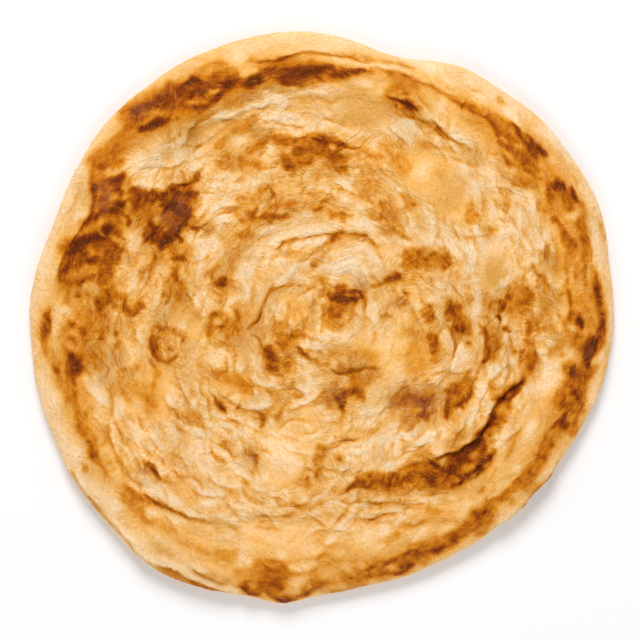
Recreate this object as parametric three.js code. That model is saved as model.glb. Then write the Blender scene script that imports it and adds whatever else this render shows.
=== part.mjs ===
// A pan-fried paratha: one round of flaky, laminated bread, lying flat.
// A buttered strip of dough is wound into a coil and rolled out, so the bread keeps the coil:
// a heavy outer turn that stands up as a rim, a moat inside it, and softer turns to the middle.
// Millimetres. +Z is up, the underside rests on z = 0, and +Y points at the notch side of the rim.
import * as THREE from "three";
import { mergeVertices } from "three/addons/utils/BufferGeometryUtils.js";

// ---- Driving dimensions ------------------------------------------------------------------
const BODY_RADIUS = 97.6; // the round that the lobes below push in and out
const BODY_HEIGHT = 6.4; // thickness of the middle, between its turns
const EDGE_HEIGHT = 3.1; // height of the widest point of the side wall
const SHOULDER = 13; // how far in the top begins to roll over to the side
const UNDERCUT = 5.5; // how far in the side wall meets the underside
const RIPPLE = 0.2; // height of the small waves all round the outline
const RIPPLE_WAVES = [
  { count: 13, phase: 2 },
  { count: 19, phase: 0 },
];

const RIM_INSET = 14.5; // from the outline in to the crest of the outer turn
const RIM_WIDTH = 8.5;
const RIM_RISE = 2.3;
const MOAT_INSET = 27;
const MOAT_WIDTH = 5.5;
const MOAT_DEPTH = 0.9;

const COIL_PITCH = 15; // from one turn to the next
const COIL_CREST = 84; // radius of the outer turn's crest at the notch side
const COIL_RISE = 1.1; // from a hollow between two turns up to a crest
const COIL_HEART = 16; // radius inside which the turns melt together

// ---- Mesh density ------------------------------------------------------------------------
const MERGE_WITHIN = 1e-3; // points closer than this are one point
const SEGMENTS = 132;
const UNDERSIDE_RINGS = 4;
const UNDERCUT_STEPS = 3;
const SHOULDER_STEPS = 5;
const TOP_RINGS = 24;

// ---- Uneven, hand-made shape -------------------------------------------------------------
// Each lobe pushes the outline out (or in, where it is negative) around one heading, in degrees.
const OUTLINE_LOBES = [
  { heading: 30, spread: 18, power: 4, out: 2.6 },
  { heading: 76, spread: 11, power: 2, out: -6.0 }, // the notch
  { heading: 124, spread: 18, power: 2, out: 0.9 },
  { heading: 159, spread: 9, power: 2, out: -2.0 },
  { heading: 179, spread: 8, power: 2, out: 1.0 },
  { heading: 213, spread: 20, power: 2, out: 2.0 },
  { heading: 237, spread: 10, power: 2, out: 3.2 },
  { heading: 262, spread: 5, power: 2, out: 2.9 }, // the tip where the last fold is tucked in
  { heading: 299, spread: 41, power: 4, out: -7.0 }, // the flattened side
  { heading: 319, spread: 7, power: 2, out: 1.2 },
];

// Where the rim curls up off the surface that the bread lies on, in degrees and millimetres.
const EDGE_LIFTS = [
  { heading: 322, spread: 26, up: 1.8 },
  { heading: 236, spread: 18, up: 1.2 },
  { heading: 160, spread: 24, up: 1.0 },
  { heading: 62, spread: 22, up: 0.8 },
];
const LIFT_FROM = 70; // radius where a curl begins

// Blisters that steam blew up between two layers, and hollows: middle, half sizes, turn, height.
const BLISTER_POWER = 4; // how flat its top and how steep its foot is
const BLISTERS = [
  { x: 38, y: 44, long: 21, wide: 13, turn: 60, up: 1.3 },
  { x: 11, y: 20, long: 14, wide: 9, turn: 15, up: 1.1 },
  { x: 22, y: -12, long: 18, wide: 11, turn: -20, up: 0.9 },
  { x: -7, y: -42, long: 15, wide: 11, turn: 20, up: 0.9 },
  { x: -53, y: -27, long: 15, wide: 10, turn: 115, up: 0.9 },
  { x: -28, y: -21, long: 12, wide: 6, turn: -25, up: 0.8 },
  { x: 32, y: -28, long: 11, wide: 9, turn: 0, up: 0.7 },
  { x: 60, y: 22, long: 14, wide: 9, turn: 100, up: 0.7 },
  { x: -18, y: 62, long: 16, wide: 5, turn: 20, up: -0.7 },
  { x: 68, y: -12, long: 11, wide: 7, turn: 70, up: -0.8 },
  { x: -62, y: 12, long: 11, wide: 6, turn: 70, up: -0.7 },
  { x: 28, y: -64, long: 18, wide: 6, turn: 8, up: -0.9 },
];

// Pleats where a fold of dough lies over its neighbour: a line from start to end that bows out
// by `bow`, with a crest `up` high that falls away steeply on its outer side.
const PLEAT_STEEP = 0.5; // share of the width on the steep side
const PLEAT_GENTLE = 1.3;
const PLEATS = [
  { from: [69, -19], to: [9, -57], bow: 15, up: 1.7, width: 5 },
  { from: [-86, 12], to: [-77, 50], bow: -4, up: 1.3, width: 4 },
  { from: [-9, -9], to: [19, -17], bow: 6, up: 1.0, width: 3.5 },
  { from: [-38, 27], to: [20, 28], bow: -6, up: 0.8, width: 4 },
  { from: [22, 74], to: [52, 56], bow: -3, up: 1.0, width: 4 },
];

const TURN = 2 * Math.PI;
const radians = THREE.MathUtils.degToRad;
const smooth = THREE.MathUtils.smoothstep;

// A bump that is 1 at zero distance and dies away past one spread.
function bump(distance, spread, power = 2) {
  return Math.exp(-Math.pow(Math.abs(distance) / spread, power));
}

// The signed angle, in degrees, from a heading to an angle in radians.
function offHeading(angle, heading) {
  const degrees = THREE.MathUtils.radToDeg(angle) - heading;
  return THREE.MathUtils.euclideanModulo(degrees + 180, 360) - 180;
}

function outline(angle) {
  let radius = BODY_RADIUS;
  for (const { count, phase } of RIPPLE_WAVES) radius += RIPPLE * Math.sin(count * angle + phase);
  for (const { heading, spread, power, out } of OUTLINE_LOBES) {
    radius += out * bump(offHeading(angle, heading), spread, power);
  }
  return radius;
}

// The coil winds outwards clockwise, seen from above: one crest for each turn.
function coil(radius, angle) {
  const wound = THREE.MathUtils.euclideanModulo(Math.PI / 2 - angle, TURN) / TURN;
  const turns = (radius - COIL_CREST) / COIL_PITCH - wound;
  const crest = Math.cos(TURN * turns) / 2;
  return COIL_RISE * crest * smooth(radius, 0, COIL_HEART);
}

function blister(x, y, { x: midX, y: midY, long, wide, turn, up }) {
  const [dx, dy] = [x - midX, y - midY];
  const [c, s] = [Math.cos(radians(turn)), Math.sin(radians(turn))];
  return up * bump(Math.hypot((dx * c + dy * s) / long, (dy * c - dx * s) / wide), 1, BLISTER_POWER);
}

function pleat(x, y, { from, to, bow, up, width }) {
  const start = new THREE.Vector2(...from);
  const chord = new THREE.Vector2(...to).sub(start);
  const length = chord.length();
  const along = new THREE.Vector2(x, y).sub(start).dot(chord) / (length * length);
  if (along < 0 || along > 1) return 0;
  const side = ((x - start.x) * chord.y - (y - start.y) * chord.x) / length;
  const across = side + bow * Math.sin(Math.PI * along);
  const spread = width * (across < 0 ? PLEAT_STEEP : PLEAT_GENTLE);
  return up * bump(across, spread) * Math.sin(Math.PI * along);
}

// Thickness of the bread over a point of the surface that it lies on.
function thickness(x, y) {
  const angle = Math.atan2(y, x);
  const radius = Math.hypot(x, y);
  const inset = outline(angle) - radius;
  let height = BODY_HEIGHT;
  height += RIM_RISE * bump(inset - RIM_INSET, RIM_WIDTH);
  height -= MOAT_DEPTH * bump(inset - MOAT_INSET, MOAT_WIDTH);
  height += coil(radius, angle) * smooth(inset, SHOULDER, MOAT_INSET);
  for (const one of BLISTERS) height += blister(x, y, one);
  for (const one of PLEATS) height += pleat(x, y, one);
  return height;
}

function edgeLift(radius, angle) {
  const up = EDGE_LIFTS.reduce(
    (sum, lift) => sum + lift.up * bump(offHeading(angle, lift.heading), lift.spread),
    0,
  );
  return up * Math.pow(smooth(radius, LIFT_FROM, BODY_RADIUS), 2);
}

// Half of a plain round's section, from the middle of the underside round to the middle of the top.
function section() {
  const points = [];
  const flat = BODY_RADIUS - UNDERCUT;
  for (let i = 0; i < UNDERSIDE_RINGS; i++) {
    points.push(new THREE.Vector2((flat * Math.sqrt(i)) / Math.sqrt(UNDERSIDE_RINGS), 0));
  }
  for (let i = 0; i < UNDERCUT_STEPS; i++) {
    const a = ((i / UNDERCUT_STEPS) * Math.PI) / 2;
    points.push(new THREE.Vector2(flat + UNDERCUT * Math.sin(a), EDGE_HEIGHT * (1 - Math.cos(a))));
  }
  const brow = BODY_RADIUS - SHOULDER;
  const rise = BODY_HEIGHT - EDGE_HEIGHT;
  for (let i = 0; i < SHOULDER_STEPS; i++) {
    const a = ((i / SHOULDER_STEPS) * Math.PI) / 2;
    points.push(new THREE.Vector2(brow + SHOULDER * Math.cos(a), EDGE_HEIGHT + rise * Math.sin(a)));
  }
  for (let i = TOP_RINGS; i >= 0; i--) {
    points.push(new THREE.Vector2((brow * i) / TOP_RINGS, BODY_HEIGHT));
  }
  return points;
}

// The lathed round, with every point then pushed to the uneven outline and thickness.
function parathaGeometry() {
  const lathed = new THREE.LatheGeometry(section(), SEGMENTS);
  lathed.deleteAttribute("normal");
  lathed.deleteAttribute("uv");
  lathed.rotateX(Math.PI / 2);
  const geometry = mergeVertices(lathed, MERGE_WITHIN);
  const place = geometry.getAttribute("position");
  for (let i = 0; i < place.count; i++) {
    const angle = Math.atan2(place.getY(i), place.getX(i));
    const plainRadius = Math.hypot(place.getX(i), place.getY(i));
    const radius = (plainRadius * outline(angle)) / BODY_RADIUS;
    const [x, y] = [radius * Math.cos(angle), radius * Math.sin(angle)];
    const share = place.getZ(i) / BODY_HEIGHT;
    const z = share * thickness(x, y) + edgeLift(plainRadius, angle);
    place.setXYZ(i, x, y, z);
  }
  geometry.computeBoundingBox();
  const middle = geometry.boundingBox.getCenter(new THREE.Vector3());
  geometry.translate(-middle.x, -middle.y, 0);
  return geometry;
}

const crust = new THREE.MeshStandardMaterial({
  color: new THREE.Color(0.9, 0.68, 0.39),
  roughness: 0.55,
  metalness: 0,
});

const bread = new THREE.Mesh(parathaGeometry(), crust);
bread.name = "paratha";

const group = new THREE.Group();
group.add(bread);

export default group;
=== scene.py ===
"""Looks for one griddled, coiled paratha lying flat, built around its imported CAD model.

The bread is a ball of dough pressed onto the CAD body's own outline and thickness. Its turns, sheets,
folds, wrinkles and blisters are then worked into the mesh, and its browning into point attributes.
Places on the bread are in millimetres from its middle: +X to the right, +Y to the notch side, +Z up.
"""
import itertools
from math import pi
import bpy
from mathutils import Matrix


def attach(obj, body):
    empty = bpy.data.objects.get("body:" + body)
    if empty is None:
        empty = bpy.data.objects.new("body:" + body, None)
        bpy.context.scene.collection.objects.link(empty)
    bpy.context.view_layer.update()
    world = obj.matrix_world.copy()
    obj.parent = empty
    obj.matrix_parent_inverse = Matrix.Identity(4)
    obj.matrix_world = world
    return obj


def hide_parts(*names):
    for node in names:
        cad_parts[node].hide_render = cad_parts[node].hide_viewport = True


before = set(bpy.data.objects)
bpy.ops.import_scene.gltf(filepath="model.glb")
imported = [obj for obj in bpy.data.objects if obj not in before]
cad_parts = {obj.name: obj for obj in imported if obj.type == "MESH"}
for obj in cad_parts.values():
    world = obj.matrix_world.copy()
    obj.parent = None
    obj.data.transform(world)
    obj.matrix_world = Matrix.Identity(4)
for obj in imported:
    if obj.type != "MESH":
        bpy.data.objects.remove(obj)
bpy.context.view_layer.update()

from types import SimpleNamespace

import bmesh
import bpy
import numpy as np
from mathutils import Vector, noise
from mathutils.bvhtree import BVHTree

MM = 0.001

# ---- Dough ball ---------------------------------------------------------------------------------
CUTS = 127  # cuts across each side of the cube that the ball starts from
HEART = 44.0  # radius that the cube's top face covers
CORE_Z = 3.4  # height of the core that every point is pushed out from
CORE_INSET = 9.0  # how far inside the outline the core ends and the side wall rolls over
WALL = 20.0  # length of the side wall's roll, from the top round to the underside

TOP_ENDS = (0.45, 0.62)  # shares of the wall's roll between which the shown face gives way
UNDER_BEGINS = (0.8, 0.98)  # shares of the roll between which the underside takes over

# ---- Turns of the coil --------------------------------------------------------------------------
PITCH = 15.0
CREST = 84.0  # radius of the outer crest at the notch side
# How fast the dough changes along a turn, where across it is 1.
RUN = 0.24
RUMPLED_RUN = 0.3  # for its wrinkles
WEFT_RUN = 0.42  # for the threads and flakes of its colour

# ---- Relief, in millimetres ---------------------------------------------------------------------
SWELL = 0.45  # slow swells of a turn
TURN_WAVE = 0.3
TURN_CREASE = 0.4
SHEET_STEP = 0.4
SHEET_LIP = 0.1
WRINKLE_EVERYWHERE = 0.05
WRINKLE_WHERE_RUMPLED = 0.30
FINE_WRINKLE = 0.10
BLISTER = 0.15
CRACKLE = 0.26
CRACK = 0.12
WALL_LAYER = 0.06
WALL_LAYER_LOW = 0.24  # more again, low on the wall
WALL_GRAIN = 0.12
DENT = 0.25
PIT_DEPTH = 0.22  # how far under its surroundings a full pit lies


# ---- Numbers, noise and lines -------------------------------------------------------------------
def smooth(low, high, value):
    """0 below low, 1 above high, and an even slope between."""
    t = np.clip((value - low) / (high - low), 0.0, 1.0)
    return t * t * (3.0 - 2.0 * t)


def bump(distance, spread):
    return np.exp(-np.square(distance / spread))


def clouds(places, size, octaves=3, salt=0.0):
    """Uneven values from about -1 to 1 in lumps of about one size, the same on every run."""
    at = places / size + salt
    return np.array([noise.fractal(Vector(p), 0.9, 2.0, octaves) for p in at])


def ridges(places, size, octaves=3, salt=0.0):
    """0 on thin wandering lines, rising to 1 between them."""
    return np.clip(np.abs(clouds(places, size, octaves, salt)) * 3.0, 0.0, 1.0)


CELL_COUNT = 32
CELLS = np.random.default_rng(7).random((CELL_COUNT, CELL_COUNT, CELL_COUNT, 4))


def crumple(places, size, salt=0.0):
    """Shallow tilted hollows that meet in sharp creases: about -1 in a hollow and 1 on a crease."""
    at = places / size + salt
    home = np.floor(at).astype(int)
    low = np.full(len(at), 9.0)
    for step in itertools.product((-1, 0, 1), repeat=3):
        cell = home + step
        draw = CELLS[tuple((cell % CELL_COUNT).T)]
        gap = at - cell - draw[:, :3]
        low = np.minimum(low, np.sum(gap * gap, 1) + 0.7 * (draw[:, 3] - 0.5))
    return np.clip(low * 2.0 - 0.8, -1.0, 2.0)


def curve_through(points, steps=5):
    """A smooth line through given points, as an array of rows."""
    p = np.array(points, float)
    if len(p) < 3:
        return p
    p = np.vstack([2 * p[0] - p[1], p, 2 * p[-1] - p[-2]])
    rows = []
    for a, b, c, d in zip(p, p[1:], p[2:], p[3:]):
        square = 2 * a - 5 * b + 4 * c - d
        cube = 3 * b - a - 3 * c + d
        for t in np.arange(steps) / steps:
            rows.append(0.5 * (2 * b + (c - a) * t + square * t**2 + cube * t**3))
    return np.array(rows + [p[-2]])


def stroke_depth(xy, stroke):
    """Distance from the stroke's line over its half width there: 0 in the middle, 1 at the edge."""
    rows = np.array(stroke, float)
    depth = np.full(len(xy), 9.0)
    reach = rows[:, 2].max() * 2.5 + 2.0
    low, high = rows[:, :2].min(0) - reach, rows[:, :2].max(0) + reach
    near = np.flatnonzero(((xy > low) & (xy < high)).all(1))
    if not len(near):
        return depth
    p = xy[near]
    if len(rows) == 1:
        depth[near] = np.hypot(*(p - rows[0, :2]).T) / rows[0, 2]
        return depth
    best = np.full(len(near), 9.0)
    for a, b in zip(rows, rows[1:]):
        leg = b[:2] - a[:2]
        t = np.clip(((p - a[:2]) @ leg) / max(leg @ leg, 1e-9), 0, 1)
        width = a[2] + (b[2] - a[2]) * t
        gap = np.hypot(*(p - a[:2] - t[:, None] * leg).T)
        best = np.minimum(best, gap / width)
    depth[near] = best
    return depth


def line_side(xy, points, reach):
    """The places within reach of a line, from its points: their rows, their signed distance (above 0 on
    the left), their distance from its nearer end, and the way left."""
    line = curve_through(points)
    low, high = line.min(0) - reach, line.max(0) + reach
    near = np.flatnonzero(((xy > low) & (xy < high)).all(1))
    p = xy[near]
    best = np.full(len(near), 1e9)
    side = np.zeros(len(near))
    along = np.zeros(len(near))
    left = np.zeros((len(near), 2))
    run = 0.0
    for a, b in zip(line, line[1:]):
        leg = b - a
        length = np.hypot(*leg)
        t = np.clip(((p - a) @ leg) / (length * length), 0, 1)
        off = p - a - t[:, None] * leg
        gap = np.hypot(*off.T)
        closer = gap < best
        way_left = np.array([-leg[1], leg[0]]) / length
        best = np.where(closer, gap, best)
        side = np.where(closer, np.where(off @ way_left >= 0, gap, -gap), side)
        along = np.where(closer, run + t * length, along)
        left[closer] = way_left
        run += length
    keep = best < reach
    ends = np.minimum(along, run - along)[keep]
    return near[keep], side[keep], ends, left[keep]


# ---- The bread's mesh ---------------------------------------------------------------------------
def smooth_copy(node):
    """A seamless, rounded copy of a CAD node, to press the dough against."""
    form = bmesh.new()
    form.from_mesh(node.data)
    bmesh.ops.remove_doubles(form, verts=form.verts, dist=1e-6)
    mesh = bpy.data.meshes.new("mould")
    form.to_mesh(mesh)
    form.free()
    mould = bpy.data.objects.new("mould", mesh)
    bpy.context.scene.collection.objects.link(mould)
    rounding = mould.modifiers.new("rounding", "SUBSURF")
    rounding.levels = rounding.render_levels = 2
    tree = BVHTree.FromObject(mould, bpy.context.evaluated_depsgraph_get())
    bpy.data.objects.remove(mould)
    bpy.data.meshes.remove(mesh)
    return tree


def cube_to_round(cube):
    """Where each point of the cut cube goes: way round from crown (0) to underside (3), and heading."""
    x, y, z = cube.T
    reach = np.maximum(np.abs(x), np.abs(y))
    way = np.where(z > 0.9999, reach, np.where(z < -0.9999, 3.0 - reach, 1.5 - z / 2.0))
    wide = np.abs(x) >= np.abs(y)
    safe_x = np.where(x == 0, 1.0, x)
    safe_y = np.where(y == 0, 1.0, y)
    heading = np.where(
        wide,
        pi / 4 * y / safe_x + np.where(x < 0, pi, 0.0),
        pi / 2 - pi / 4 * x / safe_y + np.where(y < 0, pi, 0.0),
    )
    return way, heading


def press(ball, mould):
    """Presses the ball onto the mould: its places, the way out of the surface, and the round's measures."""
    cube = np.array([v.co for v in ball.verts], float)
    way, heading = cube_to_round(cube)
    rim = np.linspace(-pi, pi, 721)
    rim_radius = np.array(
        [mould.ray_cast(Vector((0, 0, CORE_Z * MM)), Vector((np.cos(a), np.sin(a), 0)))[3] / MM for a in rim]
    )
    turned = (heading + pi) % (2 * pi) - pi
    edge = np.interp(turned, rim, rim_radius)
    brow = edge - CORE_INSET
    walk = np.clip(way - 1.0, 0, 1) * (brow - HEART + WALL)
    top_core = np.where(way <= 1, HEART * way, np.minimum(HEART + walk, brow))
    core = np.where(way > 2, brow * (3.0 - way), top_core)
    roll = np.clip((walk - (brow - HEART)) / WALL, 0, 1)
    roll = np.where(way > 2, 1.0, roll) * pi
    out = np.stack([np.sin(roll) * np.cos(heading), np.sin(roll) * np.sin(heading), np.cos(roll)], 1)
    start = np.stack([core * np.cos(heading), core * np.sin(heading), np.full(len(core), CORE_Z)], 1)
    places = start.copy()
    for i, (s, d) in enumerate(zip(start, out)):
        hit = mould.ray_cast(Vector(s) * MM, Vector(d))
        places[i] = np.array(hit[0]) / MM
    return places, out, {"heading": turned, "edge": edge, "roll": roll / pi}


def neighbours_mean(ball, values, rounds):
    """Evens values out over the mesh: each point takes the mean of itself and the points next to it."""
    pairs = np.array([[e.verts[0].index, e.verts[1].index] for e in ball.edges])
    a, b = pairs.T
    count = np.bincount(a, minlength=len(values)) + np.bincount(b, minlength=len(values)) + 1.0
    for _ in range(rounds):
        total = values + np.bincount(a, values[b], len(values)) + np.bincount(b, values[a], len(values))
        values = total / count
    return values


# ---- Strokes drawn on the bread -------------------------------------------------------------------
def strokes(text):
    """Strokes from text: a semicolon parts two strokes, a comma two points, each x, y and half width."""
    return [[tuple(map(float, point.split())) for point in stroke.split(",")] for stroke in text.split(";")]


# ---- Folds: edges of sheets that lie over their neighbour ----------------------------------------
# (height, width of the lifted side, depth of shade under it, line); the upper sheet is on the left.
FOLDS = [
    (
        0.8, 5.0, 0.9,
        [(-88.4, 11), (-88, 15), (-86, 20), (-83, 26), (-80, 30.5), (-77, 34.5), (-76.3, 39), (-77.2, 45),
         (-77.6, 52)],
    ),
    (
        0.5, 4.0, 0.6,
        [(88.2, 37), (88.6, 31), (89.8, 24), (91.3, 15), (92.2, 9), (93.5, 3), (94.4, 0), (93.5, -4.5),
         (91, -10)],
    ),
    (0.5, 3.0, 1.0, [(88, -32), (86, -29), (84.3, -26), (83, -22)]),
    (
        1.5, 7.0, 0.6,
        [(35, -46.6), (40, -45.5), (45, -44.2), (49.5, -41.5), (53, -38), (56, -33), (58.5, -28.5),
         (62, -24.5), (66, -21.2), (69.3, -19.3)],
    ),
    (0.5, 3.0, 1.0, [(34.5, -46.4), (39, -48.7), (43, -51.2), (47, -51.8), (52, -49.2), (57, -45.5)]),
    (0.6, 4.0, 0.5, [(44, -55.2), (50, -53), (55, -49.3), (58, -46)]),
    (0.7, 5.0, 0.35, [(-59.8, -58), (-57, -60), (-52, -62.5), (-47, -65), (-42, -66.4), (-36, -68)]),
    (0.35, 4.0, 0.5, [(-24, -65.2), (-17, -66), (-10, -65.3), (-8, -64)]),
    (0.6, 6.0, 0.7, [(-3.5, 8.8), (-9, 9.9), (-15, 9.7), (-18, 5), (-20, 0), (-23, -4), (-26.5, -6.2)]),
    (0.4, 4.0, 0.35, [(-7.3, -8), (-6, -2), (-4, 4), (-2.2, 9)]),
    (0.3, 3.0, 0.35, [(-0.4, -8), (-0.6, -2), (-0.5, 5)]),
    (0.7, 4.0, 1.0, [(-7.8, -8.8), (-5.5, -11.7), (-3, -13.6), (-0.6, -14.2)]),
    (0.7, 5.0, 0.9, [(1, -15.3), (6, -17.2), (12, -16.8), (17, -16.2), (19.4, -18.6)]),
    (
        0.6, 5.0, 0.8,
        [(-17, 21.5), (-14.5, 23.5), (-12, 26), (-5, 27.4), (0, 28.4), (5, 29), (10, 28.6), (15.5, 27.6),
         (20, 23.5)],
    ),
    (0.4, 3.5, 0.6, [(-3, 22.4), (0.5, 25), (3.5, 28)]),
    (0.4, 3.0, 0.7, [(-43.5, 29.6), (-40, 30.6), (-37, 29.2), (-35, 27.6)]),
    (0.5, 4.0, 0.8, [(-54.8, 23.2), (-51, 27), (-47.2, 31), (-44.5, 34.6)]),
    (0.6, 3.5, 0.9, [(-53, 41.5), (-51, 43.8), (-48, 44.8), (-44.3, 44.9), (-41, 46.8)]),
    (0.4, 3.0, 0.8, [(-46.5, 62), (-43, 63.9), (-40, 64.4)]),
    (0.5, 4.0, 0.9, [(34.5, 64.6), (38, 65.4), (40, 63), (44, 60.2), (50, 56.6)]),
    (0.7, 3.5, 1.0, [(22.2, 73.6), (27, 72.4), (31.8, 69.8)]),
    (
        0.45, 4.0, 0.8,
        [(-23.8, 86.4), (-18, 85.6), (-14, 86.4), (-10.5, 87.6), (-6, 88.9), (0, 88.5), (8, 87.7),
         (18, 85.3)],
    ),
    (0.35, 4.0, 0.4, [(16, 84.6), (24, 82.4), (32, 79.2), (40, 76), (48, 72.4)]),
    (
        0.9, 5.0, 0.85,
        [(-84, -50), (-81, -55), (-77, -60), (-72, -66), (-66, -71.8), (-61.5, -77.4), (-56, -82),
         (-49, -84), (-42, -87.2), (-35, -90), (-28, -91.6)],
    ),
    (0.7, 4.0, 0.9, [(-44, -83), (-40, -84.6), (-35, -87), (-30, -88.4)]),
    (0.8, 4.0, 1.0, [(-28.5, -88), (-25, -91), (-20, -93)]),
    (0.6, 5.0, 0.7, [(-17.5, -90.5), (-15, -93), (-11, -93.9), (-7, -92), (-2, -89.4), (3, -87)]),
    (1.0, 5.0, 0.95, [(57, -70), (62, -67), (67, -62.4), (70, -59), (74, -54.4), (77, -50), (79, -46)]),
    (0.35, 3.0, 0.5, [(14.5, -62), (22, -61.6), (30, -61.8), (38, -60.4)]),
    (0.35, 3.0, 0.7, [(14.6, -67.4), (17.5, -66.8), (22, -65.4), (30, -64.6)]),
    (0.35, 3.0, 0.6, [(26, -69.2), (30.5, -68.6), (36, -66.8)]),
    (0.35, 3.0, 0.6, [(0.8, -71), (4, -68.4), (7, -65), (10, -60.6)]),
    (0.3, 3.0, 0.5, [(1.8, -72.5), (6, -69.5), (10, -66), (14, -63)]),
    (0.3, 2.5, 0.6, [(-71, -34), (-69, -42), (-66.5, -49), (-63, -55)]),
    (0.25, 2.5, 0.5, [(-67, -43), (-64.5, -50), (-60.5, -56)]),
    (0.3, 2.5, 0.6, [(-63, -43), (-60.5, -48), (-57.6, -52)]),
    (0.45, 3.0, 0.8, [(-59, -46.4), (-56, -49), (-53.6, -54)]),
    (0.5, 4.0, 0.4, [(-64.5, 44.8), (-60, 43.9), (-55, 43.5), (-51, 42.6)]),
    (0.4, 3.0, 0.6, [(-70.5, 46.6), (-66.5, 49.3), (-63.2, 50)]),
    (0.35, 3.0, 0.6, [(-17.5, 66), (-11, 65.2), (-5, 63.3)]),
    (0.4, 3.5, 0.5, [(-16.5, 60.3), (-10, 60.4), (-4, 60.2), (2, 60.6)]),
    (0.35, 4.0, 0.5, [(-36, 65.5), (-29, 67.6), (-22, 70.3), (-14, 72)]),
    (0.3, 3.0, 0.4, [(-57, 55.2), (-54, 57.2), (-50, 57.8)]),
    (0.35, 4.0, 0.4, [(-63, 50), (-56, 50.4), (-49, 51), (-43, 53.4)]),
    (0.5, 5.0, 0.5, [(44, -30.4), (48.6, -26), (50.6, -20), (52, -14)]),
    (0.3, 3.0, 0.4, [(31, 4), (33, -1), (35.5, -7), (37.5, -13)]),
    (0.35, 3.5, 0.4, [(56.5, 8), (60, 10), (64, 12.4)]),
    (0.35, 3.0, 0.7, [(69.8, 18.6), (72, 15.7), (75, 12.4), (78, 10)]),
    (0.3, 3.0, 0.5, [(-86.5, 33), (-83.5, 37.5), (-81, 43)]),
    (0.4, 5.0, 0.4, [(-25, -18), (-21, -21.8), (-15, -23.6), (-8, -23.4)]),
    (0.4, 5.0, 0.4, [(-34.5, -24.6), (-29, -28.8), (-23, -30.4), (-16, -29.6)]),
    (0.35, 4.0, 0.5, [(-13, -31), (-8, -29.4), (-3, -27), (0.5, -24.4)]),
    (0.35, 4.0, 0.5, [(-60.4, 9), (-58, 15.6), (-55.6, 20.6)]),
    (0.3, 3.0, 0.5, [(10, -53.5), (13, -49.5), (14.5, -47)]),
    (0.3, 3.0, 0.4, [(43, -42), (46.5, -37), (49, -32.5)]),
    (0.4, 3.5, 0.5, [(59, -20), (57, -22), (60, -24)]),
    (0.3, 3.0, 0.4, [(41, -17.2), (44, -18.4), (48, -18)]),
    (0.3, 3.0, 0.4, [(25, -43.5), (30, -44.4), (34, -42.6)]),
]

LOOSE_EDGES = 650
LOOSE_SEED = 5

# Smooth, taut, oily puffs between the wrinkled sheets: strokes of (x, y, half width).
PUFFS = strokes("""
    32 50 7, 40 47 9, 44 40 8; 14 -7 4, 22 -10 7, 30 -14 6; -4 -36 5, -10 -42 8, -14 -50 6; -55 -22 7,
    -57 -30 6, -62 -27 5; -28 -22 5, -33 -20 3; -47 1 4, -42 -4 3; 58 20 6, 56 12 4; -8 3 4, -12 6 3;
    -35 60 5, -26 63 4; 10 68 6, 17 66 5; -10 -73 5, -22 -72 5; 48 -58 4, 58 -50 3
""")
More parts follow.
